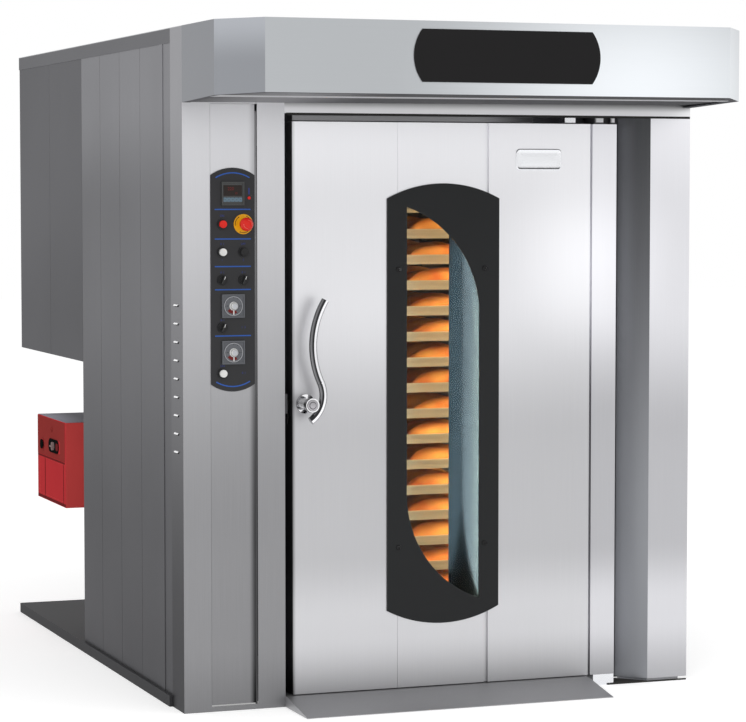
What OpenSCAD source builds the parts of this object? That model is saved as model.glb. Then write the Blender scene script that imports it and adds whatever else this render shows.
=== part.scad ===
// Rotating rack oven. Millimetres, Z up, front towards -Y.
// The modules are drawn from the left wall (X), the door plane (Y) and the floor (Z).
// centred() then puts the origin under the middle of the machine.

/* [Body] */
// Width over the side walls
body_w = 1672; // [1640:1:1800]
// Height of the roof
body_h = 2050; // [2030:1:2150]
// Depth from the door plane to the rear edge of the base
body_d = 2125; // [2080:1:2300]
// Depth from the door plane to the rear wall of the lower body
lower_d = 1206; // [1204:1:1260]
// Height of the underside of the rear overhang
overhang_z = 986; // [940:1:1040]
// Thickness of the base plate
base_t = 34; // [30:1:36]
// How far the base stands proud of the side walls
base_lip = 10; // [4:1:20]
// Thickness of the outer sheet
skin_t = 2; // [1.5:0.5:3]
// Width of the seam between two panels
seam_w = 2; // [1:0.5:4]
// Width of a side panel
panel_pitch = 245; // [220:1:250]
// Width of the cover strip over the first seam
batten_w = 34; // [20:1:40]
// Height of the trim band under the roof
trim_h = 45; // [30:1:60]
// Thickness of the insulation in the side walls
insulation_t = 60; // [40:1:70]

/* [Front] */
// Width of the control column
column_w = 319; // [315:1:325]
// Depth of the control column and of the pilaster
column_d = 125; // [123:1:127]
// Width of the column's outer strip, left of the control cover
strip_w = 86; // [80:1:90]
// Width of the control cover
cover_w = 138; // [136:1:140]
// Dark gap to the right of the control cover
cover_gap = 8; // [5:1:10]
// Depth of the control cover's folded edges
cover_fold = 25; // [15:1:28]
// Width of the right pilaster's front
pilaster_w = 138; // [132:1:142]
// Width of the slanted jamb beside the door
jamb_w = 76; // [72:1:80]
// Depth of the slanted jamb
jamb_d = 80; // [74:1:84]
// Underside of the lintel
lintel_z = 1796; // [1794:1:1800]
// Height of the plinth gap under the pilaster
plinth_h = 12; // [8:1:20]
// Number of louvres in the column's side
louvre_count = 9; // [5:1:12]
// Distance between two louvres
louvre_pitch = 55; // [45:1:60]
// Height of the lowest louvre
louvre_z = 780; // [600:1:900]

/* [Hood] */
// Underside of the hood
hood_z = 1824; // [1810:1:1840]
// Reach of the hood in front of the door plane
hood_reach = 469; // [400:1:520]
// How much higher the underside is at the front, so that water runs back
hood_rise = 16; // [8:1:20]
// Depth of the hood's corner cut
hood_cut_d = 143; // [100:1:170]
// Width of the hood's corner cut
hood_cut_w = 106; // [80:1:140]
// Height of the filters over the hood's underside
filter_up = 110; // [60:1:140]
// Number of baffles in a filter
baffle_count = 9; // [5:1:12]
// Width of the sign plate
sign_w = 586; // [500:1:640]
// Height of the sign plate
sign_h = 152; // [120:1:170]
// Thickness of the sign plate
sign_t = 3; // [2:0.5:5]

/* [Door] */
// Gap between the column and the door leaf
door_gap = 24; // [22:1:26]
// Width of the door leaf
door_w = 982; // [980:1:984]
// Thickness of the door leaf
door_t = 90; // [86:1:92]
// Gap under the door
sill_gap = 2; // [2:0.5:4]
// Gap over the door
head_gap = 25; // [24:1:27]
// Width of the recess between the leaf and the hinge stile
stile_gap = 8; // [6:1:9]
// Width of the hinge stile
stile_w = 83; // [81:1:84]
// Radius of the hinge pins
pivot_r = 10; // [8:0.5:12]
// Length of the hinge pins inside the stile
pivot_len = 30; // [20:1:40]
// Place of the wide groove from the leaf's left edge
groove_x = 627; // [625:1:629]
// Width of the wide groove
groove_w = 13; // [10:1:16]
// Depth of the wide groove
groove_d = 8; // [5:1:12]
// Place of the fine groove from the leaf's left edge
fine_x = 339; // [300:1:345]

/* [Window] */
// Left edge of the window opening from the leaf's left edge
win_x = 368; // [366:1:372]
// Width of the window opening
win_w = 241; // [238:1:244]
// Lower end of the window opening
win_z0 = 302; // [290:1:320]
// Upper end of the window opening
win_z1 = 1514; // [1490:1:1530]
// Radius of the opening's two round corners
win_r = 352; // [330:1:380]
// Side margin of the window plate
plate_margin = 64; // [50:1:68]
// End margin of the window plate up to its shoulder
plate_end = 26; // [20:1:40]
// Rise of the plate's arched ends
plate_rise = 46; // [30:1:60]
// Thickness of the window plate
plate_t = 4; // [3:0.5:6]
// Thickness of a glass pane
glass_t = 4; // [3:0.5:6]
// How much the tunnel narrows on its right side
tunnel_splay = 68; // [40:1:80]

/* [Handle] */
// Place of the handle's axis from the leaf's left edge
handle_x = 40; // [36:1:44]
// Height of the handle's axis
handle_z = 921; // [880:1:960]
// Distance from the door to the bar's centre line
handle_out = 60; // [50:1:70]
// Radius of the bar
bar_r = 12; // [10:0.5:13]
// Radius of the bar's long upper bend
upper_r = 262; // [255:1:270]
// Radius of the bar's short lower bend
lower_r = 94; // [90:1:96]
// Radius of the spindle
spindle_r = 12; // [9:0.5:13]
// Length of the latch tongue
tongue_len = 60; // [58:1:60]

/* [Controls] */
// Height of the control plate's middle
panel_z = 1298; // [1250:1:1330]
// Height of the control plate between its shoulders
panel_h = 624; // [610:1:640]
// Rise of the control plate's arched ends
panel_rise = 22; // [15:1:30]
// Width of the control plate
panel_w = 137; // [134:1:137]
// Distance of the two columns of switches from the plate's middle
switch_dx = 33; // [31:1:35]
// Bezel radius of a push button
bezel_r = 15; // [14:0.5:16]
// Cap radius of a push button
cap_r = 11.2; // [10:0.1:11.5]
// Travel of a push button
press = 4; // [2:0.5:5]
// Side of a panel instrument
gauge_w = 70; // [64:1:72]
// Radius of the emergency stop's disc
estop_r = 30; // [26:0.5:31]
// Radius of the emergency stop's head
mushroom_r = 20; // [18:0.5:22]
// Travel of the emergency stop
estop_press = 6; // [3:0.5:7]

/* [Chamber] */
// Clear height of the chamber
chamber_h = 1764; // [1762:1:1766]
// Depth of the chamber
chamber_d = 976; // [974:1:980]
// Clear width of the chamber between the air ducts
chamber_w = 982; // [980:1:986]
// Width of the chamber's mouth
mouth_w = 900; // [880:1:910]
// Height of the chamber's mouth
mouth_h = 1700; // [1690:1:1704]
// Depth of the frame round the mouth
frame_d = 26; // [20:1:26]
// Gap for the gasket between the door and the frame
gasket_gap = 14; // [14:0.5:18]
// Width of the gasket
gasket_w = 14; // [10:1:18]
// Columns of air slots in a duct wall
slot_cols = 5; // [3:1:6]
// Rows of air slots in a duct wall
slot_rows = 8; // [5:1:8]
// Length of an air slot
slot_len = 150; // [100:1:170]
// Width of an air slot
slot_w = 14; // [8:1:20]
// Depth of a duct wall, with its turning vanes
duct_d = 16; // [14:1:18]

/* [Rack] */
// Width of the rack
rack_w = 640; // [620:1:644]
// Length of the rack
rack_l = 680; // [660:1:682]
// Number of trays
tray_count = 18; // [10:1:18]
// Distance between two trays
tray_pitch = 81.5; // [78:0.5:82]
// Height of a tray
tray_h = 30; // [20:1:34]
// Sheet thickness of a tray
tray_t = 2; // [1.5:0.5:3]
// Rim height of the lowest tray over the floor
first_rim = 220; // [218:1:224]
// Side of a rack post
post_w = 30; // [25:1:32]
// Radius of a caster wheel
wheel_r = 40; // [36:1:41]
// Width of a caster wheel
wheel_w = 30; // [24:1:32]
// Free height under the wheels of the hanging rack
lift = 8; // [5:0.5:10]
// Radius of the drive shaft
shaft_r = 20; // [16:0.5:22]

/* [Heat] */
// Radius of the combustion chamber
drum_r = 110; // [90:1:115]
// Height of the burner's axis
flame_z = 577; // [560:1:590]
// Radius of an exchanger tube
tube_r = 25; // [19:1:27]
// Columns of exchanger tubes
tube_cols = 3; // [2:1:3]
// Rows of exchanger tubes
tube_rows = 9; // [5:1:9]
// Inner radius of the flue collar
flue_r = 75; // [60:1:80]
// Height of the roof collars over the roof
collar_h = 24; // [20:1:26]
// Inner radius of the steam vent collar
vent_r = 60; // [50:1:75]
// Radius of the circulation fan
fan_r = 240; // [200:1:250]
// Width of the circulation fan
fan_w = 130; // [100:1:140]
// Blades of the circulation fan
blade_count = 10; // [6:1:14]

/* [Burner] */
// Width of the burner casing
burner_w = 330; // [300:1:340]
// Length of the burner casing
burner_l = 420; // [400:1:440]
// Height of the burner casing
burner_h = 300; // [290:1:310]
// How far the casing's middle lies over the burner's axis
burner_up = 24; // [16:1:30]
// Gap between the rear wall and the burner casing
burner_gap = 324; // [300:1:330]
// Radius of the blast tube
blast_r = 60; // [50:1:64]

/* [Hidden] */
$fn = 64;

// Clearances
fit = 0.05;       // radial, a shaft that runs in its bore
slack = 0.3;      // between faces that move past each other
eps = 1;          // how far a cutter overshoots

// Body
mid_y = (body_d - hood_reach - sign_t) / 2;
wall_x = skin_t;                      // outer face of the side panels, under the trim
inner_x = wall_x + skin_t;            // inner face of the side panels
roof_z = body_h - skin_t;             // underside of the roof sheet
box_d = body_d - 2 * skin_t;          // outer face of the upper box's rear panel
first_seam = lower_d - 4 * panel_pitch;
seams = [column_d, first_seam, first_seam + panel_pitch, first_seam + 2 * panel_pitch,
  first_seam + 3 * panel_pitch, lower_d];
box_seams = [lower_d, (lower_d + box_d) / 2, box_d];

// Door
door_x = column_w + door_gap;
door_z = base_t + sill_gap;
door_h = lintel_z - head_gap - door_z;
leaf_x1 = door_x + door_w;
stile_x = leaf_x1 + stile_gap;
stile_x1 = stile_x + stile_w;
pivot_x = stile_x + stile_w / 2;
pivot_y = door_t / 2;
jamb_x = body_w - pilaster_w - jamb_w;
pivot_step = 1;   // play over and under the stile

// Chamber, centred behind the door leaf
chamber_x = door_x + door_w / 2;
frame_y = door_t + gasket_gap;
chamber_y = frame_y + frame_d;
chamber_y1 = chamber_y + chamber_d;
chamber_z = base_t + skin_t;
ceiling_z = chamber_z + chamber_h;
duct_x = chamber_x - chamber_w / 2;
duct_x1 = chamber_x + chamber_w / 2;
liner_x = duct_x - duct_d;
liner_x1 = duct_x1 + duct_d;

// Rack
rack_y = chamber_y + chamber_d / 2;
rack_z = chamber_z + lift;            // underside of the hanging wheels
rim_top = first_rim + (tray_count - 1) * tray_pitch;
rack_top = rim_top + 60;
bar_z = rack_top + 15;                // axis of the lifting bar
tray_w = rack_w - 2 * post_w - 10;
fork_z = rack_z + 2 * wheel_r + 6;    // underside of the fork's plate
foot_z = fork_z + 6;                  // underside of the rack's bottom frame
caster_dx = rack_w / 2 - 60;
caster_dy = rack_l / 2 - 60;
trail = 22;                           // how far a swivel wheel runs behind its stem
axle_r = 5;
cheek_t = 4;
cheek_gap = 2;

// Window, in the door leaf
win_x0 = door_x + win_x;
win_x1 = win_x0 + win_w;
pane_lap = 11;                        // how far the pane reaches behind the plate

// Handle
grip_x = door_x + handle_x;
grip_y = -handle_out;
rosette_r = 29;
rosette_t = 8;
sleeve_r = 18;

// Controls
cover_x = strip_w + 0.5;
panel_x = cover_x + cover_w / 2 - 0.5;
panel_t = 3;
left_x = panel_x - switch_dx;
right_x = panel_x + switch_dx;
gauge_x = panel_x;
controller_z = panel_z + 257;
lamp_z = panel_z + 244;
stop_row_z = panel_z + 166;
button_row_z = panel_z + 83;
selector_row_z = panel_z;
timer_a_z = panel_z - 78;
selector_c_z = panel_z - 142;
timer_b_z = panel_z - 217;
last_row_z = panel_z - 279;
bezel_t = 6;
stem_r = 4;
barrel_r = 11;
barrel_len = 40;

// Heat
heat_x = (inner_x + insulation_t + liner_x) / 2;
header_w = liner_x - inner_x - insulation_t - 20;
header_d = 55;
header_z0 = flame_z + drum_r + 40;
header_z1 = 1700;
header_y0 = chamber_y + 40;
header_y1 = chamber_y1 - 10;
flue_y = 1850;
flue_z = header_z1 - 120;
flue_t = 2;
fan_x = body_w / 2;
fan_z = 1400;
scroll_y = lower_d + 54;
scroll_d = 190;
fan_y = scroll_y + 30;
scroll_r = fan_r + 60;
partition_y = scroll_y + scroll_d + 60;
motor_y = partition_y + 70;
motor_r = 95;
motor_len = 260;
fan_shaft_r = 15;

// Burner
burner_x = 20;
burner_y = lower_d + burner_gap;
burner_z = flame_z + burner_up - burner_h / 2;
burner_z1 = burner_z + burner_h;
casing_t = 3;
volute_r = 105;
volute_x0 = burner_x + 90;
volute_w = 90;
volute_y = burner_y + 190;
wheel_fan_r = 80;

module centred() {
  translate([-body_w / 2, -mid_y, 0]) children();
}

// A box from one corner to the other
module block(low, high) {
  translate(low) cube(high - low);
}

// A box of sheet, hollow and closed
module casing(low, high) {
  wall = [skin_t, skin_t, skin_t];
  difference() {
    block(low, high);
    block(low + wall, high - wall);
  }
}

// A cylinder along Y, from y0 to y1
module rod_y(x, z, r, y0, y1) {
  translate([x, y0, z]) rotate([-90, 0, 0]) cylinder(r = r, h = y1 - y0);
}

// A cylinder along X, from x0 to x1
module rod_x(y, z, r, x0, x1) {
  translate([x0, y, z]) rotate([0, 90, 0]) cylinder(r = r, h = x1 - x0);
}

// A ring along Y
module ring_y(x, z, r_in, r_out, y0, y1) {
  difference() {
    rod_y(x, z, r_out, y0, y1);
    rod_y(x, z, r_in, y0 - eps, y1 + eps);
  }
}

// A plate standing in the XZ plane, drawn as a 2D outline, front face at y
module plate_y(y, t) {
  translate([0, y + t, 0]) rotate([90, 0, 0]) linear_extrude(t) children();
}

// ---------------------------------------------------------------- body

base_bays = 5;

// Folded pan, open below between its cross members
module base_plate() {
  pitch = (body_d - column_d - 4) / base_bays;
  color("dimgray") centred() difference() {
    block([-base_lip, column_d, 0], [body_w + base_lip, body_d, base_t]);
    for (i = [0 : base_bays - 1], s = [0, 1])
      translate([-base_lip + 4 + s * (body_w / 2 + base_lip - 2), column_d + 4 + i * pitch, -eps])
        cube([body_w / 2 + base_lip - 6, pitch - 4, base_t - 4 + eps]);
  }
}

// Panels of one side wall, from seam to seam
module wall_panels(edges, z0) {
  for (i = [0 : len(edges) - 2])
    block([wall_x, edges[i] + seam_w / 2, z0], [inner_x, edges[i + 1] - seam_w / 2, roof_z]);
}

module side_wall() {
  wall_panels(seams, base_t);
  wall_panels(box_seams, overhang_z);
  // cover strip over the first seam, and the trim band under the roof
  block([0, first_seam - batten_w / 2, base_t], [wall_x, first_seam + batten_w / 2, body_h - trim_h]);
  block([0, column_d + seam_w / 2, body_h - trim_h], [wall_x, box_d, roof_z]);
}

module side_panels() {
  color("slategray") centred() {
    side_wall();
    translate([body_w, 0, 0]) mirror([1, 0, 0]) side_wall();
  }
}

vent_rows = 10;
vent_pitch = 36;
vent_w = 320;
service_w = 900;
service_h = 640;
service_z = overhang_z + 160;
gland_x = body_w - 170;
gland_z = 220;
gland_r = 10;

module service_cover() {
  x0 = (body_w - service_w) / 2;
  difference() {
    block([x0, box_d, service_z], [x0 + service_w, body_d - 1, service_z + service_h]);
    for (side = [-1, 1], row = [0 : vent_rows - 1])
      translate([body_w / 2 + side * service_w / 4 - vent_w / 2, box_d - eps,
        service_z + 140 + row * vent_pitch])
        cube([vent_w, 2 * skin_t + eps, 12]);
  }
  // slanted blades behind the vents
  for (side = [-1, 1], row = [0 : vent_rows - 1])
    translate([body_w / 2 + side * service_w / 4 - vent_w / 2, box_d, service_z + 153 + row * vent_pitch])
      rotate([35, 0, 0]) translate([0, -26, 0]) cube([vent_w, 27, 1.5]);
}

module back_panels() {
  color("lightsteelblue") centred() {
    // rear wall of the lower body, open for the blast tube and the mains gland
    difference() {
      block([inner_x, lower_d - skin_t, base_t], [body_w - inner_x, lower_d, overhang_z + skin_t]);
      rod_y(heat_x, flame_z, blast_r + 8, lower_d - 2 * skin_t, lower_d + eps);
      rod_y(gland_x, gland_z, gland_r + 6, lower_d - 2 * skin_t, lower_d + eps);
      rod_y(steam_x, valve_z, pipe_r + slack, lower_d - 2 * skin_t, lower_d + eps);
    }
    ring_y(gland_x, gland_z, gland_r, gland_r + 6, lower_d - 12, lower_d + 18);
    ring_y(gland_x, gland_z, gland_r + 6, gland_r + 12, lower_d, lower_d + 8);
    // underside of the overhang
    block([inner_x, lower_d, overhang_z], [body_w - inner_x, box_d - skin_t, overhang_z + skin_t]);
    // rear panel of the upper box, open behind the service cover's vents
    difference() {
      block([inner_x, box_d - skin_t, overhang_z], [body_w - inner_x, box_d, roof_z]);
      block([(body_w - service_w) / 2 + 20, box_d - 2 * skin_t, service_z + 20],
        [(body_w + service_w) / 2 - 20, box_d + eps, service_z + service_h - 20]);
    }
    service_cover();
  }
}

hood_duct_r = 44;
hood_duct_y = frame_y / 2;
vent_x = body_w - 200;
vent_y = lower_d + 194;
hatch_w = 520;
hatch_l = 340;

module roof_panels() {
  color("silver") centred() {
    difference() {
      union() {
        block([0, 0, roof_z], [body_w, lower_d - seam_w / 2, body_h]);
        block([0, lower_d + seam_w / 2, roof_z], [body_w, box_d, body_h]);
      }
      translate([fan_x, hood_duct_y, 0]) cylinder(r = hood_duct_r, h = body_h + eps);
      translate([heat_x, flue_y, 0]) cylinder(r = flue_r + flue_t, h = body_h + eps);
      translate([vent_x, vent_y, 0]) cylinder(r = vent_r, h = body_h + eps);
      block([chamber_x - hatch_w / 2 + 20, rack_y - hatch_l / 2 + 20, roof_z - eps],
        [chamber_x + hatch_w / 2 - 20, rack_y + hatch_l / 2 - 20, body_h + eps]);
    }
    // hatch over the rack drive
    block([chamber_x - hatch_w / 2, rack_y - hatch_l / 2, body_h],
      [chamber_x + hatch_w / 2, rack_y + hatch_l / 2, body_h + skin_t]);
    roof_collar(fan_x, hood_duct_y, hood_duct_r);
    roof_collar(vent_x, vent_y, vent_r);
  }
}

// A flanged collar that a round duct plugs into
module roof_collar(x, y, r) {
  difference() {
    translate([x, y, body_h]) union() {
      cylinder(r = r + flue_t, h = collar_h);
      cylinder(r = r + 22, h = flue_t);
    }
    translate([x, y, body_h - eps]) cylinder(r = r, h = collar_h + 2 * eps);
  }
}

// ---------------------------------------------------------------- front

// The pressed lip over a louvre, open at the bottom
module louvre_lip(y0, y1, z) {
  difference() {
    rod_y(0, z, 5, y0, y1);
    rod_y(0, z, 3.5, y0 - eps, y1 + eps);
    block([0, y0 - eps, z - 10], [10, y1 + eps, z + 10]);
    block([-10, y0 - eps, z - 10], [eps, y1 + eps, z]);
  }
}

module control_column() {
  rail_x0 = strip_w - 26;
  rail_x1 = cover_x + cover_w + cover_gap + 26;
  color("lightgray") centred() {
    difference() {
      linear_extrude(roof_z) difference() {
        square([column_w, column_d]);
        translate([skin_t, skin_t]) square([column_w - 2 * skin_t, column_d - 2 * skin_t]);
      }
      block([strip_w, -eps, 16], [cover_x + cover_w + cover_gap, skin_t + eps, hood_z - 2]);
      for (i = [0 : louvre_count - 1])
        block([-eps, 44, louvre_z + i * louvre_pitch - 3], [skin_t + eps, 84, louvre_z + i * louvre_pitch + 3]);
    }
    for (i = [0 : louvre_count - 1])
      louvre_lip(44, 84, louvre_z + i * louvre_pitch);
    // rails that carry the control cover
    for (z = [60, hood_z - 80]) {
      block([rail_x0, cover_fold, z], [rail_x1, cover_fold + skin_t, z + 40]);
      block([rail_x0, skin_t, z], [strip_w, cover_fold, z + 40]);
      block([rail_x1 - 26, skin_t, z], [rail_x1, cover_fold, z + 40]);
    }
  }
}

// Holes for the switches, through the control plate and its cover
module switch_holes() {
  places = [
    [left_x, stop_row_z], [right_x, stop_row_z], [left_x, button_row_z], [right_x, button_row_z],
    [left_x, selector_row_z], [right_x, selector_row_z], [left_x, selector_c_z], [left_x, last_row_z]
  ];
  for (p = places)
    translate(p) circle(r = barrel_r);
  for (z = [controller_z, timer_a_z, timer_b_z])
    translate([gauge_x, z]) square(gauge_w - 4, center = true);
}

module control_cover() {
  z0 = 20;
  z1 = hood_z - 3;
  color("gainsboro") centred() difference() {
    block([cover_x, 0, z0], [cover_x + cover_w, cover_fold, z1]);
    block([cover_x + skin_t, skin_t, z0 + skin_t], [cover_x + cover_w - skin_t, cover_fold + eps, z1 - skin_t]);
    plate_y(-eps, skin_t + 2 * eps) switch_holes();
  }
}

// Plate with two straight sides and two arched ends, centred on the origin
module arched_plate(w, h, rise) {
  r = (w * w / 4 + rise * rise) / (2 * rise);
  square([w, h], center = true);
  for (s = [0, 1])
    mirror([0, s]) translate([0, h / 2 + rise - r]) intersection() {
      circle(r = r, $fn = 180);
      translate([-w / 2, r - rise - eps]) square([w, rise + 2 * eps]);
    }
}

module control_plate() {
  color("#33312f") centred() plate_y(-panel_t, panel_t) difference() {
    translate([panel_x, panel_z]) arched_plate(panel_w, panel_h, panel_rise);
    switch_holes();
  }
}

// Pilaster with the jamb that slants back towards the door, as a closed sheet section
module pilaster_outline(t) {
  x0 = body_w - pilaster_w;
  polygon([
    [body_w - t, t], [x0 + t * 0.4, t], [jamb_x + t, jamb_d + t * 0.4],
    [jamb_x + t, column_d - t], [body_w - t, column_d - t]
  ]);
}

module right_pilaster() {
  color("lightgray") centred() {
    translate([0, 0, plinth_h]) linear_extrude(lintel_z - plinth_h) difference() {
      pilaster_outline(0);
      pilaster_outline(skin_t);
    }
    // floor of the section, and the plinth set back under it
    linear_extrude(plinth_h + skin_t) pilaster_outline(20);
    translate([0, 0, plinth_h]) linear_extrude(skin_t) pilaster_outline(0);
  }
}

module lintel() {
  color("gainsboro") centred() {
    // channel over the door, open at the front over the hood's filters
    block([column_w, 0, lintel_z], [body_w, frame_y, lintel_z + skin_t]);
    block([column_w, 0, lintel_z + skin_t], [body_w, skin_t, hood_z + filter_up]);
    block([body_w - skin_t, 0, lintel_z + skin_t], [body_w, column_d, roof_z]);
    block([column_w, frame_y, lintel_z], [body_w - skin_t, frame_y + skin_t, roof_z]);
  }
}

// Plan of the hood, drawn t inside its outer faces
module hood_plan(t) {
  side = hood_reach - hood_cut_d;
  k = t * 0.45;
  back = t > 0 ? eps : 0;
  polygon([
    [t, back], [t, -side + k], [hood_cut_w + k, -hood_reach + t],
    [body_w - hood_cut_w - k, -hood_reach + t], [body_w - t, -side + k], [body_w - t, back]
  ]);
}

// The hood's outline, drawn t inside its faces, from its sloping underside up to the height top
module hood_block(t, top) {
  intersection() {
    linear_extrude(top) hood_plan(t);
    translate([-eps, 0, t]) rotate([90, 0, 90]) linear_extrude(body_w + 2 * eps) polygon([
      [2 * eps, hood_z], [0, hood_z], [-hood_reach, hood_z + hood_rise],
      [-hood_reach - eps, hood_z + hood_rise], [-hood_reach - eps, top + eps], [2 * eps, top + eps]
    ]);
  }
}

module hood_shell() {
  color("silver") centred() difference() {
    hood_block(0, body_h);
    // inside, left open at the bottom behind a folded lip, and towards the body over the filters
    hood_block(skin_t, body_h - skin_t);
    linear_extrude(hood_z + filter_up) hood_plan(24);
  }
}

sign_x = chamber_x + 12;
sign_z = hood_z + (body_h - hood_z) * 0.56;

module hood_sign() {
  bow = 26;
  color("black") centred() plate_y(-hood_reach - sign_t, sign_t)
    translate([sign_x, sign_z]) rotate(90) arched_plate(sign_h, sign_w - 2 * bow, bow);
}

module hood_filter() {
  z0 = hood_z + filter_up;
  d = hood_reach - 40;
  w = (body_w - 2 * hood_cut_w) / 2 - 10;
  color("darkgray") centred() {
    // ledges that carry the two filters: along the front, the back and between the filters
    block([hood_cut_w + 5, -hood_reach + skin_t, z0 - 3], [body_w - hood_cut_w - 5, -d + 12, z0]);
    block([skin_t, -24, z0 - 3], [body_w - skin_t, 0, z0]);
    for (x = [hood_cut_w - 8, body_w / 2 - 18, body_w - hood_cut_w - 28])
      block([x, -d + 12, z0 - 3], [x + 36, -24, z0]);
    for (x = [hood_cut_w, body_w / 2 + 10]) {
      difference() {
        block([x, -d, z0], [x + w, -4, z0 + 20]);
        block([x + 20, -d + 20, z0 - eps], [x + w - 20, -28, z0 + 20 + eps]);
      }
      for (i = [0 : baffle_count - 1])
        translate([x + 20 + (w - 40) * (i + 0.5) / baffle_count, -d + 20, z0 + 2])
          rotate([0, 20, 0]) translate([-26, 0, 0]) cube([52, d - 48, 2]);
    }
  }
}

module door_frame() {
  x0 = chamber_x - mouth_w / 2;
  x1 = chamber_x + mouth_w / 2;
  z1 = base_t + mouth_h;
  keeper_z = handle_z;
  color("silver") centred() {
    casing([column_w, frame_y, base_t], [x0, chamber_y, z1]);
    casing([x1, frame_y, base_t], [jamb_x, chamber_y, z1]);
    casing([column_w, frame_y, z1], [jamb_x, chamber_y, lintel_z]);
    // keeper for the latch tongue, on the side of the column
    block([column_w, 16, keeper_z - 30], [column_w + 3, 74, keeper_z + 30]);
    block([column_w + 3, 16, keeper_z - 30], [column_w + 13, 28, keeper_z + 30]);
  }
}

ramp_reach = 205;
ramp_w = leaf_x1 - 6 - column_w;   // ends short of the hinge's foot block

// Folded threshold ramp: a slope, then a landing under the door
module ramp() {
  top = base_t - 1;
  color("gray") centred() {
    translate([column_w, 0, 0]) rotate([90, 0, 90]) linear_extrude(ramp_w) polygon([
      [-ramp_reach, 0], [-ramp_reach + 6, 0], [-18, top - 3], [column_d - 3, top - 3],
      [column_d - 3, 0], [column_d, 0], [column_d, top], [-20, top], [-ramp_reach, 2]
    ]);
    // ribs under the slope
    for (x = [column_w, column_w + ramp_w / 2, column_w + ramp_w - 3])
      translate([x, 0, 0]) rotate([90, 0, 90]) linear_extrude(3)
        polygon([[-ramp_reach + 5, 0], [-18, top - 2], [column_d - 2, top - 2], [column_d - 2, 0]]);
  }
}

module door_pivots() {
  foot_x0 = stile_x + 12;
  foot_z = door_z - pivot_step;
  head_z = door_z + door_h + pivot_step;
  color("whitesmoke") centred() {
    // foot block with its pin
    block([foot_x0, 2, 0], [stile_x1, 84, foot_z]);
    translate([pivot_x, pivot_y, foot_z]) cylinder(r = pivot_r, h = pivot_len);
    // bracket under the lintel, notched in front, with its pin
    difference() {
      block([stile_x + 8, 4, head_z], [stile_x1 - 4, 84, lintel_z]);
      block([stile_x + 40, 4 - eps, head_z - eps], [stile_x + 67, 28, lintel_z + eps]);
    }
    translate([pivot_x, pivot_y, head_z - pivot_len]) cylinder(r = pivot_r, h = pivot_len);
    // stop block for the leaf
    block([leaf_x1 - 85, 4, head_z + 3], [leaf_x1 - 49, 50, lintel_z]);
  }
}

// ---------------------------------------------------------------- chamber

grille_r = 180;
grille_pitch = 40;

module chamber_liner() {
  color("silver") centred() {
    block([liner_x, chamber_y, base_t], [liner_x1, chamber_y1 + skin_t, chamber_z]);
    // ceiling with the drive shaft's hole
    difference() {
      block([liner_x, chamber_y, ceiling_z], [liner_x1, chamber_y1 + skin_t, ceiling_z + skin_t]);
      translate([chamber_x, rack_y, ceiling_z - eps]) cylinder(r = shaft_r + 15, h = skin_t + 2 * eps);
    }
    // back with the return grille
    difference() {
      block([liner_x, chamber_y1, chamber_z], [liner_x1, chamber_y1 + skin_t, ceiling_z]);
      for (k = [-4 : 4]) {
        half = sqrt(grille_r * grille_r - pow(k * grille_pitch, 2));
        block([fan_x - half, chamber_y1 - eps, fan_z + k * grille_pitch - 12],
          [fan_x + half, chamber_y1 + skin_t + eps, fan_z + k * grille_pitch + 12]);
      }
    }
  }
}

// One duct wall, face at x = 0, its depth towards -X
module duct_wall() {
  y_pitch = chamber_d / slot_cols;
  z_pitch = (chamber_h - 60) / slot_rows;
  difference() {
    block([-skin_t, chamber_y, chamber_z], [0, chamber_y1, ceiling_z]);
    for (c = [0 : slot_cols - 1], r = [0 : slot_rows - 1])
      translate([-skin_t - eps, chamber_y + (c + 0.5) * y_pitch - slot_w / 2,
        chamber_z + 30 + (r + 0.5) * z_pitch - slot_len / 2])
        cube([skin_t + 2 * eps, slot_w, slot_len]);
  }
  // a turning vane behind each column of slots
  for (c = [0 : slot_cols - 1])
    translate([-skin_t, chamber_y + (c + 0.5) * y_pitch + slot_w / 2 + 1, chamber_z])
      linear_extrude(chamber_h) intersection() {
        difference() {
          circle(r = duct_d - skin_t);
          circle(r = duct_d - skin_t - 1.5);
        }
        translate([-duct_d, -duct_d]) square([duct_d, duct_d]);
      }
  // folded edges that stand the wall off its compartment
  for (y = [chamber_y, chamber_y1 - skin_t])
    block([-duct_d, y, chamber_z], [-skin_t, y + skin_t, ceiling_z]);
}

module air_ducts() {
  color("silver") centred() {
    translate([duct_x, 0, 0]) duct_wall();
    translate([duct_x1, 0, 0]) mirror([1, 0, 0]) duct_wall();
  }
}

// Slab inside a side wall, following the body and the overhang
module side_slab() {
  translate([inner_x, 0, 0]) rotate([90, 0, 90]) linear_extrude(insulation_t) polygon([
    [column_d + 1, base_t], [lower_d - skin_t, base_t], [lower_d - skin_t, overhang_z + skin_t],
    [box_d - skin_t, overhang_z + skin_t], [box_d - skin_t, roof_z], [column_d + 1, roof_z]
  ]);
}

roof_slab_t = 78;

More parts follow.
